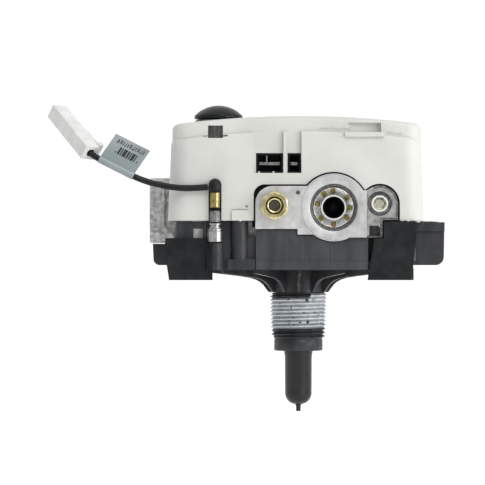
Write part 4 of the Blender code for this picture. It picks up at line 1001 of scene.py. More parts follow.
# %% Windows, slot, snap pocket and well
LENS = (-12.0, -30.0)
WINDOWS = {"wide": (-20.5, -7.9), "narrow": (-5.8, 0.5)}
CHANNEL_MARGIN = {"wide": 1.2, "narrow": 0.5}
WINDOW_LOW, WINDOW_HIGH = 49.9, 59.2
LENS_BORE = 2.8
SLOT_GROOVE = [(-45.2, 66.6), (-33.7, 66.9), (-33.7, 67.7), (-45.2, 67.4)]
SNAP_POCKET = [
    (22.4, -60), (22.4, BAND_FRONT + 1.0), (23.6, BAND_FRONT + 1.5), (36.4, BAND_FRONT + 2.4),
    (37.8, BAND_FRONT + 2.0), (37.8, -60)]

join(cover, block((-22.3, -46.4, 48.6), (1.3, -43.7, 67.0)))
for kind, (low, high) in WINDOWS.items():
    cut(
        cover,
        block((low - CHANNEL_MARGIN[kind], -60, WINDOW_LOW), (high + 0.2, BAND_FRONT, 75)),
        block((low, -60, WINDOW_LOW), (high, -42, WINDOW_HIGH)),
    )
cut(
    cover,
    block((-42.9, -60, 66.2), (-35.9, -38, 72.1)),
    slab(SLOT_GROOVE, "Y", -60, BAND_FRONT + 0.6),
    rod(0.7, (-24.9, -60, 34.3), (-24.9, -47.2, 34.3), 24),
)
join(
    cover,
    block((21.0, BAND_FRONT - 3.2, 66.8), (39.2, BAND_FRONT + 1, 69.1)),
    block((21.4, BAND_FRONT + 0.6, 66.3), (39.0, BAND_FRONT + 4.4, 74.2)),
)
cut(
    cover,
    slab(SNAP_POCKET, "Z", 68.95, 73.4),
    block((-75, -16.25, 20), (-54, 16.25, 49.0)),
    rod(KNOB_BORE, (*KNOB, 60), (*KNOB, 90), 96),
    rod(LENS_BORE, (*LENS, 68), (*LENS, 90), 48),
)
soften(cover, 0.35, 2, 40)
dress(cover, "cover_moulding", COVER_WHITE, "valve", "cover_plastic", "cover", sharp=30)
print("cover moulding", len(cover.data.polygons), "faces")

# %% [markdown]
# Small ticks run along the ledge, where the mould left a rough line. They are short blocks of random
# length and height, all joined into one piece. Two pips under the wide window key its plug. A fixed seed
# gives the same ticks each time.

# %% Ticks along the ledge
TICK_ROWS = ((9.5, 12), (40.8, 6))
PIPS = (-19.1, -12.4)

random.seed(4)
ticks = []
for x, count in TICK_ROWS:
    for _ in range(count):
        long = random.uniform(0.5, 1.2)
        z = crown(x, LEDGE_TOP, LEDGE_RADIUS) + random.uniform(0.9, 1.6)
        tall = random.uniform(0.25, 0.7)
        ticks.append(block((x, BAND_FRONT - 0.25, z), (x + long, BAND_FRONT + 0.4, z + tall)))
        x += long + random.uniform(0.2, 0.6)
for x in PIPS:
    ticks.append(block((x - 0.5, -46.4, WINDOW_LOW - 0.3), (x + 0.5, -45.6, WINDOW_LOW + 0.75)))
dress(soften(gather(*ticks), 0.1, 2), "cover_ticks", COVER_WHITE, "valve", "cover_plastic")
print(len(ticks), "ticks")

# %% [markdown]
# ## The knob
#
# A polished black dome stands in a well of the cover, on a grey knurled skirt that shows through the
# slot at the front. The skirt is a profile turned in many steps whose radius is waved to make flutes.

# %% Dome and skirt
KNOB_RADIUS = 11.35
KNOB_TOP, KNOB_RIM, KNOB_LOW = 82.0, 77.3, 75.4
FLUTES, FLUTE_DEPTH = 48, 0.014
SKIRT = [
    (10.6, 75.1), (11.0, 74.7), (11.0, 65.0), (10.8, 64.7), (9.4, 64.7), (9.4, 74.0), (4.5, 74.0),
    (4.5, 57.6), (2.8, 57.6), (2.8, 75.1)]


def dome(top, rim_height, radius, steps):
    """Points on a ball from its top out to a radius."""
    rise = top - rim_height
    ball = (radius**2 + rise**2) / (2 * rise)
    widest = math.asin(radius / ball)
    angles = [widest * i / steps for i in range(steps + 1)]
    return [(ball * math.sin(a), top - ball + ball * math.cos(a)) for a in angles]


dome_profile = dome(KNOB_TOP, KNOB_RIM, KNOB_RADIUS - 0.15, 18)
dome_profile += [(KNOB_RADIUS, KNOB_RIM - 0.3), (KNOB_RADIUS, 75.9), (KNOB_RADIUS - 0.2, 75.6)]
dome_profile += [(9.5, KNOB_LOW), (0, KNOB_LOW)]
knob_dome = turned(dome_profile, (*KNOB, 0), steps=128)
dress(knob_dome, "knob_dome", KNOB_GLOSS, "knob", "knob_plastic", "control_knob", sharp=50)

knob_skirt = turned(SKIRT, (0, 0, 0), steps=6 * FLUTES)
for vertex in knob_skirt.data.vertices:
    flat_radius = math.hypot(vertex.co.x, vertex.co.y)
    if flat_radius > 10.3 * MM:
        wave = 0.5 + 0.5 * math.cos(FLUTES * math.atan2(vertex.co.y, vertex.co.x))
        scale = 1 - FLUTE_DEPTH * wave
        vertex.co.x *= scale
        vertex.co.y *= scale
    vertex.co += Vector((*KNOB, 0)) * MM
dress(knob_skirt, "knob_skirt", SKIRT_GREY, "knob", "knob_plastic", "control_knob")
print("knob", len(knob_skirt.data.polygons), "faces in its skirt")

# %% [markdown]
# ## The valve body
#
# The face is one thick plate. The outlet boss stands at the front, and the lobe round the pressure tap
# is set back from the plate. One straight cut makes the step. Its rounded edge follows the outline, so a
# strip between two sizes of the same outline cuts that.

# %% Face plate and block
FACE_FRONT = -50.0
TAP_FRONT = -47.5
TAP_STEP = 31.1
INLET_END = -70.9
INLET_Z = 32.75
INLET_HALF = 15.45

body = slab(face_outline(0), "Y", FACE_FRONT, -35.0)
join(body, block((-46, -36.1, 13.0), (46, 34, 42.0)))
cut(body, block((TAP_STEP, -60, 10), (60, TAP_FRONT, 60)))
lobe_edge = slab(face_outline(1.0), "Y", -60, TAP_FRONT + 0.9)
cut(lobe_edge, slab(face_outline(-1.1), "Y", -70, -30), block((-70, -70, 0), (TAP_STEP, -30, 60)))
cut(body, lobe_edge, block((TAP_STEP - 0.1, -60, 27), (TAP_STEP + 0.25, TAP_FRONT + 0.7, 45)))
join(body, rod(12.5, (*KNOB, 13.0), (*KNOB, 42.0), 64))
print("face plate and block", len(body.data.polygons), "faces")

# %% [markdown]
# A thin machined land stands a hair proud round the outlet. It is a separate turned ring, cut off where
# the tap's lobe steps back.

# %% Land round the outlet
LAND = [(11.15, 0.12), (11.4, 0.25), (15.1, 0.25), (15.3, 0.0), (15.3, -1.0), (11.15, -1.0)]

land = in_port(LAND, OUTLET, FACE_FRONT, 128)
cut(land, block((TAP_STEP - 0.2, -60, 10), (60, -40, 60)))
dress(land, "outlet_land", FACED_METAL, "valve", "die_cast")
print("land", len(land.data.polygons), "faces")

# %% [markdown]
# The ports are bored into the plate. The pockets and the lobe then get painted shade, as darker metals
# chosen by a test of where each face lies.

# %% Ports and pockets
SEAT = [(0, 3.0), (5.9, 3.0), (5.6, 0.0), (5.2, -1.0), (0, -1.0)]
POCKET = [(32.2, 20.6), (37.4, 20.6), (37.4, 24.4), (36.2, 25.4), (32.2, 25.4)]

cut(
    body,
    port_rod(11.1, OUTLET, -60, -40.6, 128),
    port_rod(9.7, OUTLET, -45, -39.2, 64),
    port_rod(4.6, PILOT, -55, -40),
    in_port(SEAT, TAP, TAP_FRONT + 0.8),
    port_rod(3.9, TAP, -48, -38),
    rod(1.0, (-1.0, -55, 40.75), (-1.0, -46, 40.75), 32),
    slab(POCKET, "Y", -60, -37.5),
    port_rod(5.3, OUTLET, -40, -8),
)
soften(body, 0.3, 3, 38)
dress(body, "body_casting", DIE_CAST, "valve", "die_cast", "valve_body", sharp=30)


def recess_shade(spot, facing):
    """The pocket under the tap, and the ring-shaped recess round its plug, where shade is painted."""
    pocket = spot.y > -47.0 and facing.y < 0.5 and 31.5 < spot.x < 38 and spot.z < 26
    return pocket or (spot.y > TAP_FRONT + 0.15 and math.hypot(spot.x - TAP[0], spot.z - TAP[1]) < 6.0)


def on_lobe(spot, facing):
    """The front of the lobe round the tap."""
    behind_step = spot.x > TAP_STEP + 0.3 and spot.y < TAP_FRONT + 0.12
    return behind_step and spot.z > 26 and facing.y < -0.3


# Painted shade: the pockets get a dark metal.
tint(body, SHADE_METAL, recess_shade)
# Painted shade: the lobe, which is set back, gets a darker cast skin.
tint(body, LOBE_SHADE_CAST, on_lobe)
print("body casting", len(body.data.polygons), "faces")

# %% [markdown]
# The outlet's wall is threaded. Its profile has one ridge for each turn, on a slight taper, and is then
# turned into a sleeve. The ridges are rings and not a true helix, which nobody can tell in a deep bore.

# %% Threaded wall of the outlet
OUTLET_PITCH = 1.15

wall_profile = [(11.08, 0.05), (10.85, 0.05), (9.9, -1.6)]
for i in range(5):
    wall_profile += [
        (10.15 - 0.03 * i, -1.3 - OUTLET_PITCH * (i + 0.5)), (9.75 - 0.03 * i, -1.3 - OUTLET_PITCH * (i + 1))]
wall_profile += [(9.7, -9.3), (11.08, -9.3)]
outlet_wall = in_port(wall_profile, OUTLET, FACE_FRONT, 128)
dress(outlet_wall, "outlet_thread_wall", SHADE_METAL, "valve", "die_cast")
print("wall of", len(wall_profile), "points")

# %% [markdown]
# The inlet boss at the left is a rough square casting with a flash line, where the two halves of the die
# met. Its thread is cut by a turned cutter, so real crests catch the light inside it.


# %% Inlet boss
def thread_cutter(depth, radius, pitch, chamfer):
    """A profile with a ridge for each turn of thread, on a slight taper."""
    profile = [(0, 2.0), (radius + chamfer, 2.0), (radius + chamfer, 0.0), (radius, -1.2 * chamfer)]
    for i in range(int((depth - chamfer) / pitch)):
        top = -chamfer - i * pitch
        here = radius - (pitch * i) / 32
        profile += [(here - 0.75, top - pitch / 2), (here - 0.03, top - pitch)]
    return profile + [(profile[-1][0] - 0.7, -depth), (0, -depth)]


FLASH = [
    (-INLET_HALF - 0.35, 23.2), (-INLET_HALF + 2, 22.6), (-INLET_HALF + 2, 24.9), (-INLET_HALF - 0.35, 24.3)]
inlet = slab(rounded_rectangle(INLET_HALF, INLET_HALF, 6.0, 8), "X", INLET_END, -44.5)
inlet.data.transform(Matrix.Translation((0, 0, INLET_Z * MM)))
join(
    inlet,
    slab(FLASH, "X", INLET_END + 0.2, -62.5),
    rod(0.9, (-64.2, -INLET_HALF + 0.1, 25.5), (-64.2, -INLET_HALF + 0.1, 43.5), 24),
)
cut(inlet, block((-63.6, -20, 26), (-62.6, -INLET_HALF + 0.9, 60)))
cut(inlet, turned(thread_cutter(12.0, 10.4, 1.8, 0.8), (INLET_END, 0, INLET_Z), "left", 96))
soften(inlet, 0.45, 3, 38)
dress(inlet, "inlet_boss_casting", ROUGH_CAST, "valve", "die_cast")
print("inlet boss made")

# %% [markdown]
# ## Pieces in the ports
#
# A slotted aluminium ring sits deep in the outlet, with a lip at its bore that is coloured bright as a
# painted highlight. The brass behind it shows through its slots, and a black cup closes the throat as
# painted shade. The slots are unevenly spaced, as they are on the real one, so their angles are listed.

# %% Outlet rings
RING_FRONT = -43.5
RING_SLOTS = [0, 37, 92, 125, 166, 220, 270, 323]
RING = [(5.95, -1.0), (6.15, -0.9), (9.3, 1.7), (9.55, 1.5), (9.55, -2.2), (5.95, -2.2)]
LIP = [(5.1, 2.3), (5.25, 2.6), (5.75, 2.6), (5.9, 2.3), (5.9, -1.8), (5.1, -1.8)]
BRASS_RING = [(5.95, -0.9), (9.4, 0.2), (9.4, -3.3), (5.95, -3.3)]
THROAT = [
    (0, -6.0), (1.1, -4.6), (1.6, -4.4), (3.4, -5.6), (4.6, -3.0), (4.9, 1.6), (5.08, 1.6), (5.08, -9.0),
    (0, -9.0)]

outlet_ring = in_port(RING, OUTLET, RING_FRONT, 128)
ring_stand = Matrix.Translation(Vector((OUTLET[0], RING_FRONT, OUTLET[1])) * MM) @ FACING["front"]
for degrees in RING_SLOTS:
    slot = slab(rounded_rectangle(1.3, 1.15, 0.35), "Z", -5, 5)
    turn = Matrix.Rotation(math.radians(degrees), 4, "Z") @ Matrix.Translation((7.75 * MM, 0, 0))
    slot.data.transform(ring_stand @ turn)
    cut(outlet_ring, slot)
soften(outlet_ring, 0.12, 2, 40)
dress(outlet_ring, "outlet_ring_slotted", RING_METAL, "valve", "die_cast", "outlet_ring")
# Painted highlight: the outlet's lip is coloured nearly white.
dress(in_port(LIP, OUTLET, RING_FRONT, 128), "outlet_lip", HIGHLIGHT_RIM, "valve", "die_cast")
brass_ring = in_port(BRASS_RING, OUTLET, RING_FRONT + 1.1)
dress(brass_ring, "outlet_ring_brass", OLD_BRASS, "valve", "brass", "outlet_brass_ring")
# Painted shade: a black cup closes the bore, standing for the dark deep in the throat.
throat = in_port(THROAT, OUTLET, RING_FRONT)
dress(throat, "outlet_throat_shade_cup", KNOB_GLOSS, "valve", "rubber")
print(len(RING_SLOTS), "slots cut")

# %% [markdown]
# The pilot tube's compression fitting is a brass hexagon with a turned chamfer. It is made by crossing a
# hexagonal bar with a turned blank, which is just how a lathe makes it. A screen sits in its bore.

# %% Pilot fitting
FITTING_FRONT = -54.6
HEXAGON_RADIUS = 7.0
BLANK = [(0, 0.0), (5.8, 0.0), (6.55, -0.6), (6.55, -6.0), (0, -6.0)]
BORE = [
    (0, 2.0), (4.35, 2.0), (4.35, 0.0), (4.0, -0.5), (3.3, -1.9), (2.75, -2.2), (2.75, -13.2), (0, -13.2)]
SCREEN = [(0, 0.0), (2.4, 0.0), (2.7, -0.4), (2.7, -1.6), (0, -1.6)]

hexagon = arc(PILOT, HEXAGON_RADIUS, 30, 330, 5)
fitting = slab(hexagon, "Y", FITTING_FRONT, FACE_FRONT - 0.3)
combine(fitting, [in_port(BLANK, PILOT, FITTING_FRONT)], "INTERSECT")
join(fitting, port_rod(4.3, PILOT, -52, -41))
cut(fitting, in_port(BORE, PILOT, FITTING_FRONT))
soften(fitting, 0.12, 2, 30)
dress(in_port(SCREEN, PILOT, -47.4, 48), "pilot_screen", SKIRT_GREY, "valve", "steel")
dress(fitting, "pilot_fitting_hexagon", BRASS, "valve", "brass", "pilot_fitting", sharp=25)
print("fitting", len(fitting.data.polygons), "faces")

# %% [markdown]
# The pressure tap is closed by a steel plug with a six-sided socket. A turned cutter with only six steps
# makes the socket, since a circle of six steps is a hexagon. The socket's walls, all but those that face
# up, are given a painted shade, and a rim round it is coloured bright as a painted highlight.

# %% Pressure tap plug
PLUG = [(0, 2.6), (3.1, 2.6), (3.1, 1.0), (3.6, 1.0), (3.6, -5.9), (0, -5.9)]
SOCKET = [(0, 1.0), (3.05, 1.0), (3.05, 0.0), (2.2, -1.6), (0, -1.6)]
RIM = [(3.12, 2.6), (3.3, 2.9), (3.7, 2.9), (3.95, 2.5), (3.95, 1.1), (3.12, 1.1)]
SOCKET_SIDES = 6

plug = in_port(PLUG, TAP, TAP_FRONT + 2.0, 64)
socket = in_port(SOCKET, TAP, TAP_FRONT - 0.6, SOCKET_SIDES)
cut(plug, socket)
soften(plug, 0.12, 2, 40)
dress(plug, "tap_plug_socket", PALE_STEEL, "valve", "steel", "pressure_tap_plug")


def socket_wall_shade(spot, facing):
    return math.hypot(spot.x - TAP[0], spot.z - TAP[1]) < 3.0 and facing.y > -0.75 and facing.z < 0.3


# Painted shade: the socket's walls, except those facing up, get a dark metal.
tint(plug, SHADE_METAL, socket_wall_shade)
# Painted highlight: the rim round the socket is coloured nearly white.
dress(in_port(RIM, TAP, TAP_FRONT + 2.0), "tap_plug_rim", HIGHLIGHT_RIM, "valve", "steel")
print("port pieces made")

# %% [markdown]
# ## The base
#
# The base is one black moulding: a shallow tray for the body, feet at the front and the back, an ear at
# each side, posts for the cover's screws and webs that sweep down to the shank. The front wall leaves
# the tray where the body's face dips into it, so the same outline cuts it. Fine upright lines on the
# wall are where the mould's inserts met.

# %% Tray and front wall
FLOOR_LOW, FLOOR_TOP, TRAY_TOP, WALL_TOP = 4.5, 7.5, 19.6, 23.3
WALL_LEFT, WALL_RIGHT = -20.5, 31.6
INSERT_LINES = (2.7, 14.4)
HUB_RADIUS, HUB_LOW = 13.6, -6.3

base = block((-60, -46.3, FLOOR_LOW), (52.8, 45, TRAY_TOP))
cut(base, block((-57.5, -43.4, FLOOR_TOP), (50.6, 42.5, 60)))


def wall_plan(proud):
    """The wall's plan, which bulges a little forwards between its ends."""
    steps = 24
    bulge = [-48.3 - proud - 0.6 * math.sin(math.pi * i / steps) for i in range(steps + 1)]
    front = [(WALL_LEFT + (WALL_RIGHT - WALL_LEFT) * i / steps, y) for i, y in enumerate(bulge)]
    return [(WALL_LEFT, -43.6), *front, (WALL_RIGHT, -43.6)]


join(
    base,
    slab(wall_plan(0.0), "Z", FLOOR_LOW + 0.2, WALL_TOP),
    slab(wall_plan(0.35), "Z", FLOOR_LOW + 0.4, 8.9),
    *[rod(0.36, (x, -48.72, 9.5), (x, -48.72, WALL_TOP - 0.2), 16) for x in INSERT_LINES],
)
cut(base, slab(face_outline(0.4), "Y", -60, -36))
cut(base, block((31.8, -50, 8.9), (35.2, -45.2, TRAY_TOP + 1)))
join(base, rod(HUB_RADIUS, (0, 0, HUB_LOW), (0, 0, FLOOR_TOP - 0.5), 64))
print("tray and wall", len(base.data.polygons), "faces")

# %% [markdown]
# The feet at the front are thick plates with sloping sides, and those at the back are plain blocks. The
# right ear is deep and has a flat pad on top. The left one is low, as the inlet lies over it. Each ear is
# an outline with a rounded lower corner, given a thickness.

# %% Feet and ears
EAR_REACH, EAR_LOW, EAR_TOP = 69.3, 6.7, 27.2
LEFT_FOOT = [
    (-61.0, 0), (-40.75, 0), (-40.75, 17.2), (-43.9, 17.2), (-43.9, TRAY_TOP), (-62.8, TRAY_TOP), (-63.0, 13)]
RIGHT_FOOT = [
    (31.6, 0), (51.6, 0), (53.7, 16), (54.3, EAR_TOP), (39.0, EAR_TOP), (39.0, 19.3), (34.5, 19.3)]
join(
    base,
    slab(LEFT_FOOT, "Y", -48.6, -43.0),
    slab(RIGHT_FOOT, "Y", -49.6, -42.6),
)
for low, high in ((-61.0, -42.0), (36.8, 52.0)):
    join(base, block((low, 36.0, 0), (high, 46.0, 15.0)))
for side in (-1, 1):
    join(base, block((side * 50 - 3, -46, 0), (side * 50 + 3, -36, FLOOR_LOW + 1)))
round_left = arc((-EAR_REACH + 3, EAR_LOW + 3), 3, 180, 270, 10)
round_right = arc((EAR_REACH - 4, EAR_LOW + 4), 4, 270, 360, 12)
join(
    base,
    slab([(-58, 16.9), (-EAR_REACH - 0.3, 16.9), *round_left, (-58, EAR_LOW)], "Y", -9, 9),
    slab([(51.5, EAR_LOW), *round_right, (EAR_REACH + 0.3, EAR_TOP), (51.5, EAR_TOP)], "Y", -9, 9),
    block((52.6, -10.2, 22.9), (EAR_REACH + 0.3, 10.2, EAR_TOP)),
)
print("feet and ears", len(base.data.polygons), "faces")

# %% [markdown]
# Round posts carry the cover's screws. Thin backings stand behind the lead's fitting and to either side
# of it, and close the gap under the cover; their black is partly painted shade in those gaps. Twelve webs
# sweep from the hub to the tray. They share one outline and are turned about the shank's axis.

# %% Posts and webs
BASE_SCREWS = [(-22.0, 29.0), (41.0, 28.0)]
WEBS, WEB_HALF = 12, 0.8
# The backings' black is partly painted shade in the gaps behind the fitting.
BACKINGS = [
    ((-44.0, -45.2, 18.6), (-35.2, -43.6, 47.8)),
    ((-57.6, -46.2, 18.6), (-44.4, -43.4, 27.3)),
    ((-35.6, -45.0, 18.6), (-31.5, -43.6, 27.4))]
SWEEP = [
    (12.0, HUB_LOW), (14.2, HUB_LOW), (15.0, -5.4), (15.9, -4.2), (17.0, -2.7), (18.5, -1.4), (20.5, -0.3),
    (23.5, 0.6), (28.0, 1.3), (42.0, 3.0), (42.0, FLOOR_LOW + 1), (12.0, FLOOR_LOW + 1)]

for x, y in COVER_SCREWS:
    radius = 3.9 if x > 50 else 4.2
    join(base, rod(radius, (x, y, 9.0 if y < 0 else FLOOR_LOW + 0.5), (x, y, COVER_BOTTOM - 0.3), 64))
post_x = COVER_SCREWS[0][0]
join(
    base,
    block((post_x - 5.4, -49.0, FLOOR_LOW + 0.3), (post_x + 7.5, -43.0, 9.8)),
    rod(3.7, (LEAD_X, LEAD_Y, FLOOR_LOW + 0.1), (LEAD_X, LEAD_Y, 17.2), 64),
    *[block(low, high) for low, high in BACKINGS],
    block((-53.3, -46.7, 19.0), (-52.7, -46.0, 27.1)),
    *[rod(4.0, (x, y, FLOOR_TOP - 1), (x, y, 12.7), 48) for x, y in BASE_SCREWS],
)
for i in range(WEBS):
    web = slab(SWEEP, "Y", -WEB_HALF, WEB_HALF)
    web.data.transform(Matrix.Rotation(2 * math.pi * i / WEBS, 4, "Z"))
    join(base, web)
print("posts and webs", len(base.data.polygons), "faces")

# %% [markdown]
# The holes come last, so that nothing added later can fill them. The front feet then get a darker black,
# the wall a paler black as a painted sheen, and the back of the slot in the tray a near-black as painted
# shade.

# %% Holes and blacks of the base
cut(
    base,
    block((-49.8, -50, TRAY_TOP), (-45.2, -42, 23.9)),
    rod(11.3, (0, 0, -20), (0, 0, 20), 64),
    block((-80, -INLET_HALF - 0.5, 16.9), (-50, INLET_HALF + 0.5, 40)),
    *[rod(1.8, (x, y, -5), (x, y, 40), 24) for x, y in COVER_SCREWS],
    *[rod(3.4, (x, y, -5), (x, y, 10.3), 32) for x, y in COVER_SCREWS],
    *[rod(1.8, (x, y, -5), (x, y, 20), 24) for x, y in BASE_SCREWS],
)
soften(base, 0.35, 2, 38)
dress(base, "base_moulding", BASE_BLACK, "valve", "base_plastic", "mounting_base", sharp=30)


def on_wall(spot, facing):
    return spot.y < -48.0 and facing.y < -0.5 and -20.6 < spot.x < 31.7


def on_front_foot(spot, facing):
    return spot.y < -48.4 and facing.y < -0.5 and (spot.x < -40.7 or spot.x > 35)


def tray_slot_shade(spot, facing):
    return -45.4 < spot.y < -45.1 and 31.8 < spot.x < 35.3 and spot.z < 19.7


# Painted sheen: the front wall gets a paler black than the rest of the base.
tint(base, WALL_SHEEN_BLACK, on_wall)
# The front feet get a darker black.
tint(base, FOOT_BLACK, on_front_foot)
# Painted shade: the back of the slot in the tray gets the rubber's near-black.
tint(base, BLACK_RUBBER_AND_SHADE, tray_slot_shade)
print("base moulding", len(base.data.polygons), "faces")

# %% [markdown]
# A black liner fills the gap between the cover and the body's face, as painted shade in that gap. It lies
# between two sizes of the face's outline. A thin plated plate lies on the right ear; its bright zinc is a
# painted highlight along the ear's top edge.

# %% Shade liner and plate
face_gap_shade = slab(face_outline(1.5), "Y", -45.7, -44.2)
cut(face_gap_shade, slab(face_outline(0.15), "Y", -60, -36), block((-60, -60, 0), (60, -36, 24.5)))
dress(soften(face_gap_shade, 0.2, 2), "face_gap_shade", BLACK_RUBBER_AND_SHADE, "valve", "rubber")
plate = slab(rounded_rectangle(4.2, 5.5, 1.5), "Z", 27.15, 27.75)
plate.data.transform(Matrix.Translation((62.6 * MM, -3.0 * MM, 0)))
# Painted highlight: the plate's bright zinc stands for the shine along the ear's top edge.
dress(soften(plate, 0.2, 2), "ear_highlight_plate", ZINC, "valve", "steel")
print("seal and plate made")

# %% [markdown]
# ## Shank, sealant and well
#
# A real tapered pipe thread is a helix. A grid of points round the shank is pushed in and out by how
# far each one has climbed along the thread, which gives a true helix with no seam. A screw modifier could
# make it too, but a grid lets the sealant be worked out from the same thread.

# %% Thread grid
THREAD_TOP, THREAD_LOW, THREADS = -6.6, -28.3, 12
PITCH = (THREAD_TOP - THREAD_LOW) / THREADS
THREAD_RADIUS_TOP, THREAD_RADIUS_LOW, THREAD_DEPTH = 13.55, 12.85, 1.25
COLLAR_RADIUS, COLLAR_LOW = 11.65, -34.3


def crest_radius(height):
    """The radius at the crests, which shrinks down the taper."""
    climbed = (THREAD_TOP - height) / (THREAD_TOP - THREAD_LOW)
    return THREAD_RADIUS_TOP + (THREAD_RADIUS_LOW - THREAD_RADIUS_TOP) * climbed


def thread_radius(angle, height):
    """The thread's radius at an angle and a height: 60 degree flanks with small flats."""
    phase = ((THREAD_TOP - height) / PITCH + angle / (2 * math.pi)) % 1.0
    away = abs(phase - 0.5) * 2
    depth = min(1.0, max(0.0, (away - 0.1) / 0.8))
    fade = min(1.0, (THREAD_TOP - height) / (0.4 * PITCH), (height - THREAD_LOW) / (0.4 * PITCH))
    return crest_radius(height) - THREAD_DEPTH * (1 - (1 - depth) * max(0.0, fade))


def round_grid(rows, steps, name):
    """Skins rings of points. Each row is a height and a function from an angle to a radius, or a radius."""
    bm = bmesh.new()
    rings = []
    for height, radius in rows:
        ring = []
        for i in range(steps):
            angle = 2 * math.pi * i / steps
            here = radius(angle, height) if callable(radius) else radius
            ring.append(bm.verts.new((here * math.cos(angle) * MM, here * math.sin(angle) * MM, height * MM)))
        rings.append(ring)
    for a, b in zip(rings, rings[1:] + rings[:1]):
        for i in range(steps):
            bm.faces.new((a[i], a[(i + 1) % steps], b[(i + 1) % steps], b[i]))
    return new_object(name, bm)


SAMPLES = THREADS * 10
DROP = THREAD_LOW - THREAD_TOP

thread_rows = [(7.2, 9.3), (7.2, 11.0), (THREAD_TOP + 0.05, 11.0)]
thread_rows += [(THREAD_TOP + DROP * i / SAMPLES, thread_radius) for i in range(SAMPLES + 1)]
thread_rows += [
    (THREAD_LOW - 0.2, COLLAR_RADIUS - 0.25), (THREAD_LOW - 0.6, COLLAR_RADIUS - 0.25),
    (THREAD_LOW - 0.9, COLLAR_RADIUS), (COLLAR_LOW + 0.5, COLLAR_RADIUS),
    (COLLAR_LOW + 0.15, COLLAR_RADIUS - 0.15), (COLLAR_LOW, COLLAR_RADIUS - 0.5),
    (COLLAR_LOW, 7.0), (-29.7, 7.0), (-29.7, 9.3)]
shank = round_grid(thread_rows, 120, "shank")
dress(shank, "shank_thread", BASE_BLACK, "valve", "base_plastic", "threaded_shank", sharp=40)
print("thread pitch", round(PITCH, 3), "mm")

# %% [markdown]
# The sealant is a second skin over the thread: thick in the valleys, thin on the crests, with ragged ends
# that follow the helix. A smooth noise thins it here and there until the thread shows.

# %% Sealant skin
SEAL_TOP, SEAL_LOW = -6.2, -23.9
SEAL_SAMPLES = 170
BARE_ABOVE = 0.56


def sealant_radius(angle, height):
    """The sealant lies over the thread and its ends follow the helix. Where it is thin, the thread shows."""
    spot = Vector((math.cos(angle) * 13, math.sin(angle) * 13, height))
    smear = noise.noise(spot * 0.3) + 0.4 * noise.noise(spot * 0.8)
    turn = (angle / (2 * math.pi) + 0.75) % 1.0
    start = SEAL_TOP + PITCH * (turn - 0.75) - (0.0 if 0.57 < turn < 0.95 else PITCH)
    edge = min(start - height, height - (SEAL_LOW + PITCH * (turn - 0.5)), 1.0)
    spots = noise.noise(Vector((math.cos(angle) * 9, math.sin(angle) * 9, height * 0.9)))
    bare = thread_radius(angle, height)
    filled = bare + 0.22 * (crest_radius(height) - bare)
    thick = 0.16 + 0.12 * smear
    if spots > BARE_ABOVE:
        thick -= (spots - BARE_ABOVE) * 9
    if edge < 0.35:
        thick -= (0.35 - edge) * 2.2
        filled = bare
    return min(filled + thick, crest_radius(height) + 0.2)


first_row, drop = SEAL_TOP + 0.8, SEAL_LOW - SEAL_TOP - 3.0
seal_rows = [(first_row, 10.5)]
seal_rows += [(first_row + drop * i / SEAL_SAMPLES, sealant_radius) for i in range(SEAL_SAMPLES + 1)]
seal_rows += [(SEAL_LOW - 2.2, 10.5)]
sealant = round_grid(seal_rows, 180, "sealant")
dress(sealant, "sealant_skin", SEALANT, "valve", "base_plastic", sharp=80)
print("sealant", len(sealant.data.polygons), "faces")

# %% [markdown]
# The sensor well is a smooth tube with a round end and a small nub, the last of the mould's gate. It is
# one turned profile that slips into the collar. The round end is a quarter of an ellipse.

# %% Sensor well
WELL_DOME, WELL_END, WELL_NUB = -54.7, -60.3, -63.4
DOME_WIDE, DOME_DEEP, DOME_STEPS = 5.5, 5.4, 12
WELL_TUBE = [
    (0, -40.0), (5.0, -40.0), (5.1, -27.0), (8.9, -27.0), (8.9, -29.5), (6.9, -29.5), (6.9, -34.6),
    (6.85, -35.4), (6.62, -36.2), (6.58, -37.0), (6.5, -37.3), (6.4, WELL_DOME)]
WELL_TIP = [
    (1.6, WELL_END + 0.1), (1.25, WELL_END - 0.25), (1.15, WELL_END - 0.8), (1.1, WELL_NUB + 0.3),
    (0.9, WELL_NUB), (0, WELL_NUB)]

round_end = []
for i in range(1, DOME_STEPS):
    angle = math.radians(90 * i / DOME_STEPS)
    round_end.append((0.9 + DOME_WIDE * math.cos(angle), WELL_DOME - DOME_DEEP * math.sin(angle)))
well = turned([*WELL_TUBE, *round_end, *WELL_TIP], (0, 0, 0))
dress(well, "sensor_well_tube", WELL_BLACK, "valve", "base_plastic", "sensor_well", sharp=40)
print("well", len(well.data.polygons), "faces")

# %% [markdown]
# ## Plug sockets
#
# Behind each window is a black header with a row of tinned pins on a pale strip. The strip and the pins
# are small, but they are the only bright things in the dark windows.

# %% Headers
PIN_COUNT = {"wide": 5, "narrow": 2}

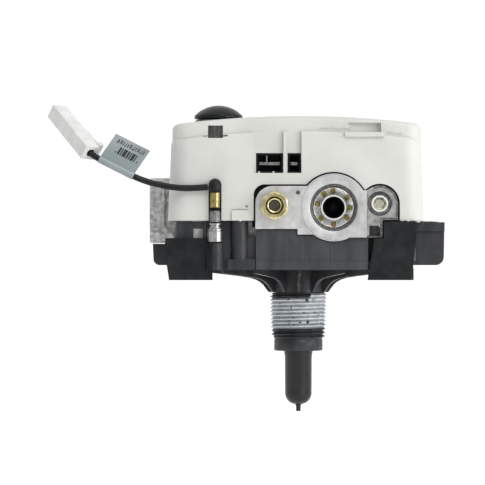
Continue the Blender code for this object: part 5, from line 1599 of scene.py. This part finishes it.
for kind, (low, high) in WINDOWS.items():
    left, right = low + 0.3, high - 0.3
    header = block((left, -42.8, WINDOW_LOW + 0.3), (right, -34, 59.7))
    join(header, block((left, BAND_FRONT + 0.5, WINDOW_LOW + 0.3), (right, -42, WINDOW_HIGH - 0.3)))
    cut(header, block((left + 0.7, -60, WINDOW_LOW + 1.0), (right - 0.7, -37, WINDOW_HIGH - 1.0)))
    soften(header, 0.15, 2, 40)
    dress(header, f"header_{kind}", BLACK_RUBBER_AND_SHADE, "valve", "base_plastic", f"harness_header_{kind}")
    pins = []
    for i in range(PIN_COUNT[kind]):
        x = left + 0.7 + (right - left - 1.4) * (i + 0.5) / PIN_COUNT[kind]
        pin = block((x - 0.35, -43.2, 54.15), (x + 0.35, -36.9, 54.85))
        pins.append(soften(pin, 0.15, 2))
    strip = soften(block((left + 0.9, -38.2, 53.6), (right - 0.9, -36.9, 55.4)), 0.3, 2)
    if kind == "wide":
        pins.append(soften(block((-15.8, -39.6, 55.1), (-15.1, -37.4, 58.3)), 0.1, 2))
    dress(gather(strip, *pins), f"header_pins_{kind}", ZINC, "valve", "steel")
print(sum(PIN_COUNT.values()), "pins in the headers")

# %% [markdown]
# ## Pieces that keep their solids
#
# The screws and the pieces inside need no finer shape. Each keeps its solid and only gets its finish.


# %% Finishes for the solids that stay
def numbered(name, count):
    return [f"{name}_{i}" for i in range(1, count + 1)]


KEPT = {
    ZINC: [
        "push_spindle", "spindle_spring", "main_valve_disc", "main_valve_spring", "regulator_spring",
        "servo_yoke", "servo_core", "servo_core_spring", "safety_magnet", "safety_valve",
        "safety_valve_spring", "capacitor", "temperature_sensor", *numbered("cover_screw", 4),
        *numbered("bonnet_screw", 4), *numbered("base_screw", 2)],
    ROUGH_CAST: ["bonnet"],
    BLACK_RUBBER_AND_SHADE: ["spindle_seal", "diaphragm"],
    LEAD_JACKET: ["sensor_leads"],
    BASE_BLACK: ["potentiometer_body", "regulator_cap", "microcontroller"],
    NYLON: ["potentiometer_rotor"],
    BRASS: ["regulator_adjuster", "inlet_strainer"],
    COPPER: ["servo_winding"],
    BOARD_MASK: ["circuit_board"],
    LENS_GREEN: ["status_led", "status_lens"],
}
for material, names in KEPT.items():
    for name in names:
        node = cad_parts[name]
        for index in range(len(node.material_slots)):
            node.material_slots[index].material = material
print(sum(len(names) for names in KEPT.values()), "solids finished")

# %% [markdown]
# ## Floor
#
# The valve hangs in the air above a plain pale floor, as it would on a stand that is out of sight. The
# floor is low enough for its shadow to stay out of view, and wide enough to meet the backdrop.

# %% Floor
FLOOR_RADIUS, FLOOR_Z = 9.0, -0.28  # m

floor_mesh = bmesh.new()
bmesh.ops.create_circle(floor_mesh, cap_ends=True, segments=96, radius=FLOOR_RADIUS)
bmesh.ops.translate(floor_mesh, vec=(0, 0, FLOOR_Z), verts=floor_mesh.verts)
floor = new_object("studio_floor", floor_mesh)
FLOOR_WHITE = finish("floor_white", [grey(0.97)], 0.9)
floor.data.materials.append(FLOOR_WHITE)
print("floor", FLOOR_Z, "m below the middle")
